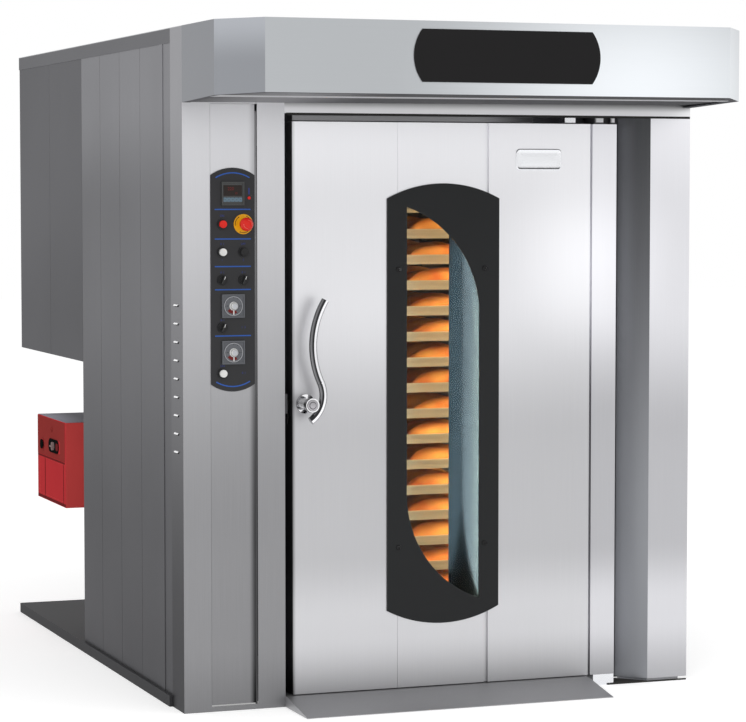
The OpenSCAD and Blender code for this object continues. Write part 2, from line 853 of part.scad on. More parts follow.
module insulation() {
  slab_x = inner_x + insulation_t;
  color("khaki") centred() {
    side_slab();
    translate([body_w, 0, 0]) mirror([1, 0, 0]) side_slab();
    // over the ceiling
    difference() {
      block([liner_x, chamber_y, ceiling_z + skin_t], [liner_x1, chamber_y1, ceiling_z + skin_t + roof_slab_t]);
      translate([chamber_x, rack_y, ceiling_z]) cylinder(r = shaft_r + 30, h = roof_slab_t + 2 * skin_t + eps);
    }
    // behind the chamber, open for the return air
    difference() {
      block([liner_x, chamber_y1 + skin_t, base_t], [liner_x1, lower_d - skin_t, ceiling_z]);
      rod_y(fan_x, fan_z, grille_r + 22, chamber_y1, lower_d);
    }
    // wall between the hot plenum and the fan motor
    difference() {
      block([slab_x, partition_y, overhang_z + skin_t], [body_w - slab_x, partition_y + 40, roof_z]);
      rod_y(fan_x, fan_z, fan_shaft_r + 10, partition_y - eps, partition_y + 40 + eps);
      rod_y(heat_x, flue_z, flue_r + flue_t, partition_y - eps, partition_y + 40 + eps);
    }
  }
}

// ---------------------------------------------------------------- heat

// Rods in columns and rows between the smoke boxes
module tube_bank(r, y0, y1) {
  for (c = [0 : tube_cols - 1], row = [0 : tube_rows - 1])
    rod_y(heat_x - header_w / 2 + header_w * (c + 0.5) / tube_cols,
      header_z0 + (header_z1 - header_z0) * (row + 0.5) / tube_rows, r, y0, y1);
}

module exchanger() {
  x0 = heat_x - header_w / 2;
  x1 = heat_x + header_w / 2;
  wall = 4;
  color("sienna") centred() difference() {
    union() {
      rod_y(heat_x, flame_z, drum_r, header_y0, header_y1);
      // throat towards the burner
      rod_y(heat_x, flame_z, blast_r + 14, header_y1, lower_d - skin_t);
      // saddles under the drum
      for (y = [header_y0 + 80, header_y1 - 120])
        block([heat_x - 40, y, base_t], [heat_x + 40, y + 30, flame_z]);
      // smoke boxes at both ends, and the tubes between them
      for (y = [header_y0, header_y1 - header_d])
        block([x0, y, header_z0], [x1, y + header_d, header_z1]);
      block([heat_x - 50, header_y0, flame_z], [heat_x + 50, header_y0 + header_d, header_z0]);
      tube_bank(tube_r, header_y0 + header_d - eps, header_y1 - header_d + eps);
    }
    // inside of the throat, the drum, its uptake, the smoke boxes and the tubes
    rod_y(heat_x, flame_z, blast_r + 8, header_y0 + header_d, lower_d);
    rod_y(heat_x, flame_z, drum_r - wall, header_y0 + wall, header_y1 - wall);
    block([heat_x - 50 + wall, header_y0 + wall, flame_z],
      [heat_x + 50 - wall, header_y0 + header_d - wall, header_z0 + 2 * wall]);
    for (y = [header_y0, header_y1 - header_d])
      block([x0 + wall, y + wall, header_z0 + wall], [x1 - wall, y + header_d - wall, header_z1 - wall]);
    tube_bank(tube_r - 2.5, header_y0 + header_d - 2 * wall, header_y1 - header_d + 2 * wall);
    rod_y(heat_x, flue_z, flue_r, header_y1 - 2 * wall, header_y1 + eps);
  }
}

module flue_pipe() {
  color("darkgray") centred() difference() {
    union() {
      rod_y(heat_x, flue_z, flue_r + flue_t, header_y1, flue_y);
      translate([heat_x, flue_y, flue_z]) sphere(r = flue_r + flue_t);
      translate([heat_x, flue_y, flue_z]) cylinder(r = flue_r + flue_t, h = body_h + collar_h - flue_z);
      translate([heat_x, flue_y, body_h]) cylinder(r = flue_r + 22, h = flue_t);
    }
    rod_y(heat_x, flue_z, flue_r, header_y1 - eps, flue_y);
    translate([heat_x, flue_y, flue_z]) sphere(r = flue_r);
    translate([heat_x, flue_y, flue_z]) cylinder(r = flue_r, h = body_h + collar_h - flue_z + eps);
  }
}

// Spiral of the fan's scroll, growing towards its outlet
function spiral(r0, r1, n) = [for (i = [0 : n]) let (a = -90 + 270 * i / n, r = r0 + (r1 - r0) * i / n)
  [r * cos(a), r * sin(a)]];

module scroll_outline(t) {
  r1 = scroll_r + 110;
  pts = spiral(scroll_r - t, r1 - t, 36);
  last = pts[36];
  end = -scroll_r - 40 - (t > 0 ? eps : 0);
  polygon(concat(pts, [[last[0], end], [last[0] + 150 - 2 * t, end], [last[0] + 150 - 2 * t, t - scroll_r]]));
}

module fan_scroll() {
  color("silver") centred() {
    difference() {
      translate([fan_x, 0, fan_z]) plate_y(scroll_y, scroll_d) mirror([0, 1]) scroll_outline(0);
      translate([fan_x, 0, fan_z]) plate_y(scroll_y + skin_t, scroll_d - 2 * skin_t)
        mirror([0, 1]) scroll_outline(skin_t);
      rod_y(fan_x, fan_z, grille_r, scroll_y - eps, scroll_y + skin_t + eps);
      rod_y(fan_x, fan_z, fan_shaft_r + 10, scroll_y + skin_t, scroll_y + scroll_d + eps);
    }
    // inlet ring from the chamber's return grille
    ring_y(fan_x, fan_z, grille_r, grille_r + skin_t, chamber_y1 + skin_t, scroll_y);
    // feet on the floor of the upper box
    for (x = [fan_x - 200, fan_x + 160])
      block([x, scroll_y + 20, overhang_z + skin_t], [x + 40, scroll_y + scroll_d - 20, fan_z - scroll_r + 40]);
  }
}

// One backward-curved blade, as a slice of a ring
module blade(h) {
  curve = fan_r * 0.75;
  linear_extrude(h) intersection() {
    translate([0, fan_r * 0.556]) difference() {
      circle(r = curve);
      circle(r = curve - 3);
    }
    difference() {
      circle(r = fan_r - 6);
      circle(r = fan_r * 0.5);
    }
    square([fan_r, fan_r]);
  }
}

module circulation_fan() {
  color("silver") centred() {
    translate([fan_x, fan_y, fan_z]) rotate([-90, 0, 0]) {
      // shroud ring towards the inlet, blades, back plate, hub
      difference() {
        cylinder(r = fan_r, h = 3);
        translate([0, 0, -eps]) cylinder(r = fan_r * 0.6, h = 3 + 2 * eps);
      }
      for (i = [0 : blade_count - 1])
        rotate(i * 360 / blade_count) translate([0, 0, 2]) blade(fan_w - 4);
      translate([0, 0, fan_w - 3]) cylinder(r = fan_r, h = 3);
      translate([0, 0, fan_w - 60]) cylinder(r = 32, h = 57);
    }
    rod_y(fan_x, fan_z, fan_shaft_r, fan_y + fan_w - 1, motor_y + motor_len * 0.6);
  }
}

motor_fins = 16;

module fan_motor() {
  foot = overhang_z + skin_t;
  color("steelblue") centred() difference() {
    union() {
      rod_y(fan_x, fan_z, motor_r, motor_y, motor_y + motor_len);
      for (i = [0 : motor_fins - 1])
        translate([fan_x, motor_y + 30, fan_z]) rotate([0, i * 360 / motor_fins, 0])
          translate([-1.5, 0, motor_r - 2]) cube([3, motor_len - 90, 12]);
      // terminal box, and a pedestal on the floor of the upper box
      block([fan_x - 50, motor_y + 60, fan_z + motor_r - 5], [fan_x + 50, motor_y + 170, fan_z + motor_r + 50]);
      block([fan_x - 110, motor_y + 20, foot], [fan_x + 110, motor_y + 200, foot + 12]);
      for (x = [fan_x - 90, fan_x + 78])
        block([x, motor_y + 40, foot + 12], [x + 12, motor_y + 180, fan_z - 20]);
    }
    rod_y(fan_x, fan_z, fan_shaft_r + fit, motor_y - eps, motor_y + motor_len * 0.6 + 2);
  }
}

steam_rows = 10;
steam_pitch = 130;
steam_x0 = liner_x1 + 12;
steam_x1 = body_w - inner_x - insulation_t - 8;
steam_x = (steam_x0 + steam_x1) / 2;
spray_z = base_t + 115 + steam_rows * steam_pitch;
riser_y = (chamber_y1 + lower_d) / 2;
valve_z = 640;
pipe_r = 10.5;

module steam_generator() {
  color("gray") centred() {
    // end frames, and the troughs that the water runs down
    for (y = [chamber_y + 60, chamber_y1 - 90])
      block([steam_x0, y, base_t], [steam_x1, y + 6, spray_z + 20]);
    for (i = [0 : steam_rows - 1])
      translate([steam_x, chamber_y1 - 90 + eps, base_t + 90 + i * steam_pitch])
        rotate([90, 0, 0]) linear_extrude(chamber_d - 156 + 2 * eps)
          polygon([[-70, 34], [0, 0], [70, 34], [70, 40], [0, 6], [-70, 40]]);
    // spray pipe, its riser, and the solenoid valve on the rear wall
    rod_y(steam_x, spray_z, pipe_r, chamber_y + 30, riser_y);
    translate([steam_x, riser_y, spray_z]) sphere(r = pipe_r);
    translate([steam_x, riser_y, valve_z]) cylinder(r = pipe_r, h = spray_z - valve_z);
    translate([steam_x, riser_y, valve_z]) sphere(r = pipe_r);
    rod_y(steam_x, valve_z, pipe_r, riser_y, lower_d + 10);
    block([steam_x - 24, lower_d, valve_z - 24], [steam_x + 24, lower_d + 48, valve_z + 24]);
    rod_y(steam_x, valve_z, pipe_r, lower_d + 40, lower_d + 78);
    translate([steam_x, lower_d + 24, valve_z + 24]) cylinder(r = 16, h = 44);
  }
}

// ---------------------------------------------------------------- burner

oval_y = burner_y + 172;
oval_z = burner_z + 204;
reset_y = burner_y + 338;
reset_z = burner_z + 198;
reset_r = 17;
damper_r = 15;
fuel_r = 9.3;
fuel_gland_r = 16;
fuel_x = burner_x + 240;
fuel_y = burner_y + burner_l + 30;
fuel_z = burner_z + 41;

module burner_body() {
  color("darkgray") centred() {
    // volute of the blower, on the cover's floor
    difference() {
      union() {
        rod_x(volute_y, flame_z, volute_r, volute_x0, volute_x0 + volute_w);
        block([volute_x0, volute_y - volute_r, burner_z + casing_t],
          [volute_x0 + volute_w, volute_y + 60, flame_z]);
      }
      rod_x(volute_y, flame_z, volute_r - 4, volute_x0 + 4, volute_x0 + volute_w - 4);
      rod_x(volute_y, flame_z, 40, volute_x0 - eps, volute_x0 + 5);
      rod_x(volute_y, flame_z, 8 + 2, volute_x0 + volute_w - 5, volute_x0 + volute_w + eps);
    }
    // blower motor
    difference() {
      rod_x(volute_y, flame_z, 52, volute_x0 + volute_w, burner_x + burner_w - casing_t);
      rod_x(volute_y, flame_z, 8 + fit, volute_x0 + volute_w - eps, volute_x0 + volute_w + 70);
    }
    // blast tube, with its flange on the oven's rear wall
    difference() {
      union() {
        rod_y(heat_x, flame_z, blast_r, header_y1 - 60, volute_y - volute_r + 14);
        translate([heat_x, lower_d, flame_z]) rotate([-90, 0, 0]) linear_extrude(10)
          square(2 * blast_r + 90, center = true);
      }
      rod_y(heat_x, flame_z, blast_r - 4, header_y1 - 60 - eps, burner_y + 40);
    }
    // light top plate
    block([burner_x + casing_t, burner_y + casing_t, burner_z1 - 8],
      [burner_x + burner_w - casing_t, burner_y + burner_l - casing_t, burner_z1 - 5]);
    // fuel inlet on the rear of the casing
    difference() {
      rod_y(fuel_x, fuel_z, fuel_gland_r, fuel_y - 60, fuel_y);
      rod_y(fuel_x, fuel_z, fuel_r, fuel_y - 40, fuel_y + eps);
    }
  }
}

module burner_cover() {
  color("firebrick") centred() difference() {
    union() {
      block([burner_x, burner_y, burner_z], [burner_x + burner_w, burner_y + burner_l, burner_z1]);
      // oval bezel round the damper's knob
      translate([burner_x, oval_y, oval_z]) rotate([90, 0, -90]) linear_extrude(4) union() {
        square([92, 48], center = true);
        for (s = [-1, 1])
          translate([s * 46, 0]) circle(r = 24);
      }
    }
    block([burner_x + casing_t, burner_y + casing_t, burner_z + casing_t],
      [burner_x + burner_w - casing_t, burner_y + burner_l - casing_t, burner_z1 + eps]);
    // windows for the blast tube, the fuel inlet, the damper and the reset button
    rod_y(heat_x, flame_z, blast_r, burner_y - eps, burner_y + casing_t + eps);
    rod_y(fuel_x, fuel_z, fuel_gland_r, fuel_y - 30 - casing_t - eps, fuel_y - 30 + eps);
    rod_x(oval_y, oval_z, 6 + fit, burner_x - 5, burner_x + casing_t + eps);
    rod_x(oval_y, oval_z, damper_r + 3, burner_x - 5, burner_x - 1);
    rod_x(reset_y, reset_z, 6 + fit, burner_x - eps, burner_x + casing_t + eps);
    // shallow field pressed into the lower half of the side
    block([burner_x - eps, burner_y + 30, burner_z + 18], [burner_x + 0.8, burner_y + burner_l - 30, burner_z + 148]);
  }
}

module burner_fan() {
  blades = 24;
  w = volute_w - 30;
  x0 = volute_x0 + 14;
  color("silver") centred() {
    rod_x(volute_y, flame_z, wheel_fan_r, x0 + w - 3, x0 + w);
    difference() {
      rod_x(volute_y, flame_z, wheel_fan_r, x0, x0 + 3);
      rod_x(volute_y, flame_z, wheel_fan_r - 16, x0 - eps, x0 + 3 + eps);
    }
    for (i = [0 : blades - 1])
      translate([x0 + 2, volute_y, flame_z]) rotate([i * 360 / blades, 0, 0])
        translate([0, wheel_fan_r - 15, -1]) cube([w - 4, 13, 2]);
    rod_x(volute_y, flame_z, 8, x0 + w - 1, volute_x0 + volute_w + 60);
    rod_x(volute_y, flame_z, 16, x0 + w - 18, x0 + w);
  }
}

module burner_damper() {
  color("red") centred() {
    rod_x(oval_y, oval_z, damper_r, burner_x - 9, burner_x - 1.5);
    block([burner_x - 14, oval_y - damper_r, oval_z - 2.5], [burner_x - 8, oval_y + damper_r, oval_z + 2.5]);
    rod_x(oval_y, oval_z, 6, burner_x - 2, burner_x + 30);
    // flap on the inner end of the spindle
    block([burner_x + 20, oval_y - 26, oval_z - 1], [burner_x + 50, oval_y + 26, oval_z + 1]);
  }
}

module burner_reset() {
  color("black") centred() {
    rod_x(reset_y, reset_z, reset_r, burner_x - 8, burner_x - 4);
    rod_x(reset_y, reset_z, 6, burner_x - 5, burner_x + 12);
  }
}

// ---------------------------------------------------------------- rack

beam_x = inner_x + insulation_t;
beam_z = ceiling_z + skin_t + roof_slab_t;
beam_t = 12;
beam_half = 110;
beam_lip = 40;
gear_h = 90;
gear_r = 85;
hook_r = 34;
hook_bore = 15;
hook_h = 70;
hook_t = 12;
hook_dy = 70;
cross_t = 15;

module rack_drive() {
  color("darkseagreen") centred() {
    difference() {
      union() {
        // channel across the roof space, from side to side
        block([beam_x, rack_y - beam_half, beam_z], [body_w - beam_x, rack_y + beam_half, beam_z + beam_t]);
        for (y = [rack_y - beam_half, rack_y + beam_half - beam_t])
          block([beam_x, y, beam_z], [body_w - beam_x, y + beam_t, beam_z + beam_lip]);
      }
      translate([chamber_x, rack_y, beam_z - eps]) cylinder(r = shaft_r + 6, h = beam_t + 2 * eps);
    }
    // bearing under the beam
    difference() {
      translate([chamber_x, rack_y, beam_z - 24]) cylinder(r = shaft_r + 22, h = 24);
      translate([chamber_x, rack_y, beam_z - 24 - eps]) cylinder(r = shaft_r + fit, h = 24 + 2 * eps);
    }
    // worm gearbox on the beam, with its motor lying along X
    difference() {
      union() {
        translate([chamber_x, rack_y, beam_z + beam_t]) cylinder(r = gear_r, h = gear_h);
        rod_x(rack_y, beam_z + beam_t + gear_h / 2, 42, chamber_x + gear_r - 12, chamber_x + gear_r + 20);
        rod_x(rack_y, beam_z + beam_t + gear_h / 2, 55, chamber_x + gear_r + 18, chamber_x + gear_r + 210);
        block([chamber_x + gear_r + 60, rack_y - 35, beam_z + beam_t + gear_h / 2],
          [chamber_x + gear_r + 150, rack_y + 35, beam_z + beam_t + gear_h / 2 + 66]);
      }
      translate([chamber_x, rack_y, beam_z]) cylinder(r = shaft_r + fit, h = beam_t + gear_h + eps);
    }
  }
}

// Hook plate that the rack's lifting bar hangs in, open towards +X
module hook_outline() {
  difference() {
    union() {
      translate([-hook_r, 0]) square([2 * hook_r, hook_h]);
      circle(r = hook_r);
    }
    circle(r = hook_bore);
    translate([0, -hook_bore]) square([hook_r + 6, 2 * hook_bore]);
  }
}

module rack_hanger() {
  z1 = bar_z + hook_h;
  color("silver") centred() {
    translate([chamber_x, rack_y, z1 - 4])
      cylinder(r = shaft_r, h = beam_z + beam_t + gear_h + 6 - z1 + 4);
    // crosshead and two hooks
    block([chamber_x - hook_r, rack_y - hook_dy, z1 - cross_t], [chamber_x + hook_r, rack_y + hook_dy, z1]);
    for (y = [rack_y - hook_dy, rack_y + hook_dy - hook_t])
      translate([chamber_x, 0, bar_z]) plate_y(y, hook_t) hook_outline();
  }
}

// Square ring of four bars round the rack, each a separate bar
module rack_ring(z, h) {
  hx = rack_w / 2;
  hy = rack_l / 2;
  for (s = [-1, 1]) {
    block([min(s * hx, s * (hx - post_w)), -hy, z], [max(s * hx, s * (hx - post_w)), hy, z + h]);
    block([post_w - hx, min(s * hy, s * (hy - post_w)), z], [hx - post_w, max(s * hy, s * (hy - post_w)), z + h]);
  }
}

module rack_frame() {
  hx = rack_w / 2;
  hy = rack_l / 2;
  foot_h = 24;
  color("silver") centred() translate([chamber_x, rack_y, 0]) {
    difference() {
      union() {
        rack_ring(foot_z, foot_h);
        // plates in the corners for the casters
        for (sx = [-1, 1], sy = [-1, 1])
          translate([sx * caster_dx, sy * caster_dy, foot_z + foot_h / 2])
            cube([2 * (hx - caster_dx), 2 * (hy - caster_dy), foot_h], center = true);
      }
      for (sx = [-1, 1], sy = [-1])
        translate([sx * caster_dx, sy * caster_dy, foot_z - eps]) cylinder(r = 8 + fit, h = foot_h + 2 * eps);
    }
    for (sx = [-1, 1], sy = [-1, 1])
      translate([sx * (hx - post_w / 2) - post_w / 2, sy * (hy - post_w / 2) - post_w / 2, foot_z + foot_h])
        cube([post_w, post_w, rack_top - foot_z - foot_h]);
    rack_ring(rack_top, 6);
    // lifting bar, on two bearers across the top
    for (s = [-1, 1])
      block([-hx, s * 200 - 15, rack_top + 6], [hx, s * 200 + 15, rack_top + 24]);
    rod_y(0, bar_z, 14.7, -216, 216);
    // fixed forks of the two rear casters
    for (sx = [-1, 1])
      translate([sx * caster_dx, caster_dy, 0]) caster_fork(0, 0);
  }
}

module caster_fork(offset, stem) {
  half = wheel_w / 2 + cheek_gap + cheek_t;
  block([-half, -22, fork_z], [half, 22 + offset, foot_z]);
  for (s = [-1, 1])
    translate([s * (half - cheek_t / 2) - cheek_t / 2, 0, 0]) rotate([90, 0, 90]) linear_extrude(cheek_t)
      polygon([[-20, fork_z + 1], [20 + offset, fork_z + 1], [offset + 12, rack_z + wheel_r - 12],
        [offset - 12, rack_z + wheel_r - 12]]);
  if (stem > 0)
    translate([0, 0, foot_z - eps]) cylinder(r = 8, h = stem + eps);
  // axle
  rod_x(offset, rack_z + wheel_r, axle_r, -half - 1, half + 1);
}

module swivel_fork(s) {
  color("gray") centred() translate([chamber_x + s * caster_dx, rack_y - caster_dy, 0]) caster_fork(trail, 20);
}

module caster_fork_a() { swivel_fork(-1); }

module caster_fork_b() { swivel_fork(1); }

module caster_wheel(sx, y) {
  color("#2b2b2b") centred() translate([chamber_x + sx * caster_dx, y, rack_z + wheel_r])
    rotate([0, 90, 0]) rotate_extrude() difference() {
      translate([axle_r + fit, -wheel_w / 2]) square([wheel_r - axle_r - fit, wheel_w]);
      // waisted web on both sides
      for (s = [-1, 1])
        translate([wheel_r * 0.5, s * wheel_w / 2]) circle(r = 7);
    }
}

module caster_wheel_a() { caster_wheel(-1, rack_y - caster_dy + trail); }

module caster_wheel_b() { caster_wheel(1, rack_y - caster_dy + trail); }

module caster_wheel_c() { caster_wheel(-1, rack_y + caster_dy); }

module caster_wheel_d() { caster_wheel(1, rack_y + caster_dy); }

function rim_z(i) = first_rim + i * tray_pitch;

runner_t = 3;
runner_w = 22;

module rack_runners() {
  hx = rack_w / 2 - post_w;
  hy = rack_l / 2;
  color("silver") centred() translate([chamber_x, rack_y, 0])
    for (i = [0 : tray_count - 1], s = [0, 1]) mirror([s, 0, 0])
      translate([0, hy, rim_z(i) - tray_h - runner_t]) rotate([90, 0, 0]) linear_extrude(rack_l)
        polygon([
          [hx, 0], [hx - runner_w, 0], [hx - runner_w, runner_t], [hx - runner_t, runner_t],
          [hx - runner_t, 24], [hx, 24]
        ]);
}

module tray() {
  l = rack_l - 4;
  difference() {
    union() {
      translate([-tray_w / 2 + 4, -l / 2 + 4, -tray_h]) cube([tray_w - 8, l - 8, tray_h]);
      // rolled rim
      translate([-tray_w / 2, -l / 2, -5]) cube([tray_w, l, 5]);
      translate([-tray_w / 2 + 2, -l / 2 + 2, -tray_h + 8]) cube([tray_w - 4, l - 4, 4]);
    }
    translate([-tray_w / 2 + 4 + tray_t, -l / 2 + 4 + tray_t, tray_t - tray_h])
      cube([tray_w - 8 - 2 * tray_t, l - 8 - 2 * tray_t, tray_h]);
  }
}

module trays() {
  color("#cfc8b8") centred()
    for (i = [0 : tray_count - 1])
      translate([chamber_x, rack_y, rim_z(i)]) tray();
}

// ---------------------------------------------------------------- door

// Plan of the leaf, drawn t inside its faces, with both grooves in the front
module leaf_plan(t) {
  difference() {
    translate([door_x + t, t]) square([door_w - 2 * t, door_t - 2 * t]);
    translate([door_x + groove_x - t, -eps]) square([groove_w + 2 * t, groove_d + t + eps]);
    if (t == 0)
      polygon([[door_x + fine_x - 1.2, -eps], [door_x + fine_x + 1.2, -eps], [door_x + fine_x, 1]]);
  }
}

module door_leaf() {
  slot_reach = 64;
  color("gainsboro") centred() {
    difference() {
      translate([0, 0, door_z]) linear_extrude(door_h) leaf_plan(0);
      translate([0, 0, door_z + skin_t]) linear_extrude(door_h - 2 * skin_t) leaf_plan(skin_t);
      // front opening for the pane, back opening for the inner pane
      block([win_x0 - pane_lap, -eps, win_z0 - pane_lap], [win_x1 + pane_lap, groove_d + 2 * skin_t, win_z1 + pane_lap]);
      block([win_x0 - pane_lap, door_t - 2 * skin_t, win_z0 - pane_lap],
        [win_x1 - tunnel_splay + pane_lap, door_t + eps, win_z1 + pane_lap]);
      rod_y(grip_x, handle_z, sleeve_r, -eps, skin_t + eps);
      // slot in the free edge for the latch tongue
      block([door_x - eps, 33, handle_z - slot_reach], [door_x + skin_t + eps, 50, handle_z + 12]);
    }
    // rosette and bearing sleeve of the handle
    difference() {
      union() {
        rod_y(grip_x, handle_z, rosette_r, -rosette_t, 0);
        rod_y(grip_x, handle_z, sleeve_r, -1, 30);
      }
      rod_y(grip_x, handle_z, spindle_r + fit, -rosette_t - eps, 30 + eps);
    }
  }
}

// Plan of the stile, square in front and round behind, t inside its faces
module stile_plan(t) {
  translate([stile_x + t, t]) square([stile_w - 2 * t, pivot_y - t]);
  translate([pivot_x, pivot_y]) circle(r = stile_w / 2 - t);
}

module hinge_stile() {
  plug = pivot_len + 8;
  color("gainsboro") centred() difference() {
    union() {
      translate([0, 0, door_z]) linear_extrude(door_h) stile_plan(0);
      // recessed web that ties the stile to the leaf
      block([leaf_x1, 15, door_z], [stile_x + 8, 60, door_z + door_h]);
    }
    // hollow between the plugs at its ends
    translate([0, 0, door_z + plug]) linear_extrude(door_h - 2 * plug) stile_plan(8);
    for (z = [door_z - eps, door_z + door_h - pivot_len])
      translate([pivot_x, pivot_y, z]) cylinder(r = pivot_r + fit, h = pivot_len + eps);
  }
}

// Lens-shaped window opening: two sharp corners, two round ones
module window_outline() {
  zm = (win_z0 + win_z1) / 2;
  rise = sqrt(win_r * win_r - pow(win_r - win_w, 2));
  intersection() {
    translate([win_x0, win_z0]) square([win_w, win_z1 - win_z0]);
    union() {
      translate([win_x1 - win_r, win_z1 - rise]) circle(r = win_r, $fn = 180);
      translate([win_x0 - eps, 0]) square([win_w + 2 * eps, win_z1 - rise]);
    }
    union() {
      translate([win_x0 + win_r, win_z0 + rise]) circle(r = win_r, $fn = 180);
      translate([win_x0 - eps, win_z0 + rise]) square([win_w + 2 * eps, win_z1]);
    }
  }
}

module window_plate() {
  w = win_w + 2 * plate_margin + 1;
  h = win_z1 - win_z0 + 2 * plate_end;
  color("#3d3f41") centred() plate_y(-plate_t, plate_t) difference() {
    translate([(win_x0 + win_x1) / 2, (win_z0 + win_z1) / 2]) arched_plate(w, h, plate_rise);
    window_outline();
    for (sx = [-1, 1], z = [472, 1324])
      translate([(win_x0 + win_x1) / 2 + sx * (win_w / 2 + 22), z]) circle(r = 5);
  }
}

module window_panes() {
  color("lightblue", 0.35) centred() {
    block([win_x0 - pane_lap + 0.5, 0, win_z0 - pane_lap + 0.5],
      [win_x1 + pane_lap - 0.5, glass_t, win_z1 + pane_lap - 0.5]);
    block([win_x0 - pane_lap + 0.5, door_t - skin_t - glass_t, win_z0 - pane_lap + 0.5],
      [win_x1 - tunnel_splay + pane_lap - 0.5, door_t - skin_t, win_z1 + pane_lap - 0.5]);
  }
}

// Polished reflector between the panes, splayed on its right side
module window_tunnel() {
  y0 = glass_t;
  y1 = door_t - skin_t - glass_t;
  color("silver") centred() {
    translate([0, 0, win_z0 - 2]) linear_extrude(win_z1 - win_z0 + 4) union() {
      polygon([[win_x0, y0], [win_x0, y1], [win_x0 - 2, y1], [win_x0 - 2, y0]]);
      polygon([[win_x1, y0], [win_x1 - tunnel_splay, y1], [win_x1 - tunnel_splay + 2, y1], [win_x1 + 2, y0]]);
    }
    for (z = [win_z0 - 2, win_z1])
      translate([0, 0, z]) linear_extrude(2) polygon([[win_x0 - 2, y0], [win_x1 + 2, y0],
        [win_x1 - tunnel_splay + 2, y1], [win_x0 - 2, y1]]);
  }
}

module door_gasket() {
  y0 = door_t;
  y1 = frame_y - slack;
  out = 25;
  x0 = chamber_x - mouth_w / 2 - out;
  x1 = chamber_x + mouth_w / 2 + out;
  z0 = door_z + 3;
  z1 = base_t + mouth_h + out;
  color("#222222") centred() difference() {
    block([x0, y0, z0], [x1, y1, z1]);
    block([x0 + gasket_w, y0 - eps, z0 + gasket_w], [x1 - gasket_w, y1 + eps, z1 - gasket_w]);
  }
}

// A bend of the bar in the plane of the door, from angle a0 to a1
module bend(x, z, r, a0, a1) {
  translate([x, grip_y, z]) rotate([90, 0, 0]) rotate(a0) rotate_extrude(angle = a1 - a0)
    translate([r, 0]) circle(r = bar_r);
}

module door_handle() {
  turn = 24.6;                        // where the bar changes its bend
  low_x = grip_x - 56.5;
  low_z = handle_z + 29;
  up_x = low_x + (upper_r + lower_r) * cos(turn);
  up_z = low_z + (upper_r + lower_r) * sin(turn);
  color("silver") centred() {
    bend(up_x, up_z, upper_r, 180 - 31.6, 180 + turn);
    bend(low_x, low_z, lower_r, -55, turn);
    // ball in the joint of the two bends
    translate([low_x + lower_r * cos(turn), grip_y, low_z + lower_r * sin(turn)]) sphere(r = bar_r + 0.4);
    // hub and spindle
    rod_y(grip_x, handle_z, 21, grip_y - 13, grip_y + 13);
    rod_y(grip_x, handle_z, 16, grip_y, -rosette_t - 0.5);
    rod_y(grip_x, handle_z, spindle_r, grip_y, 50);
    // latch tongue, which turns behind the keeper
    block([grip_x - 8, 36, handle_z - tongue_len], [grip_x + 8, 46, handle_z]);
  }
}

// ---------------------------------------------------------------- controls

mount_x = 24;      // mounting plate of the switchgear
mount_z0 = 140;
mount_z1 = 1700;
mount_t = 3;
rail_pitch = 260;
relay_pitch = 48;
relay_d = 60;

module switchgear() {
  color("lightgray") centred() {
    y1 = column_d - skin_t;
    y2 = y1 - mount_t - 8;
    block([mount_x, y1 - mount_t, mount_z0], [column_w - mount_x, y1, mount_z1]);
    // rails with contactors, relays and terminals
    for (z = [mount_z0 + 120 : rail_pitch : mount_z0 + 120 + 2 * rail_pitch]) {
      block([mount_x + 6, y2, z - 17], [column_w - mount_x - 6, y1 - mount_t, z + 17]);
      for (x = [0 : 4])
        block([mount_x + 16 + x * relay_pitch, y2 - relay_d, z - 40], [mount_x + 60 + x * relay_pitch, y2, z + 40]);
    }
    block([mount_x + 16, y1 - 51, mount_z0 + 760], [column_w - mount_x - 16, y1 - mount_t, mount_z0 + 800]);
  }
}

// Instrument frame with its recessed face
module gauge(z) {
  difference() {
    plate_y(-panel_t - 7, 7) translate([gauge_x, z]) square(gauge_w, center = true);
    plate_y(-panel_t - 7 - eps, 3 + eps) translate([gauge_x, z]) square(gauge_w - 8, center = true);
  }
  plate_y(-panel_t, panel_t + 58) translate([gauge_x, z]) square(gauge_w - 5, center = true);
}

// Bezel and barrel of a push button or selector
module bezel(x, z) {
  ring_y(x, z, cap_r + slack, bezel_r, -panel_t - bezel_t, -panel_t - 1);
  difference() {
    union() {
      rod_y(x, z, bezel_r, -panel_t - 1.5, -panel_t);
      rod_y(x, z, barrel_r - 0.2, -panel_t, barrel_len);
    }
    rod_y(x, z, stem_r + fit, -panel_t - 2, 22);
  }
}

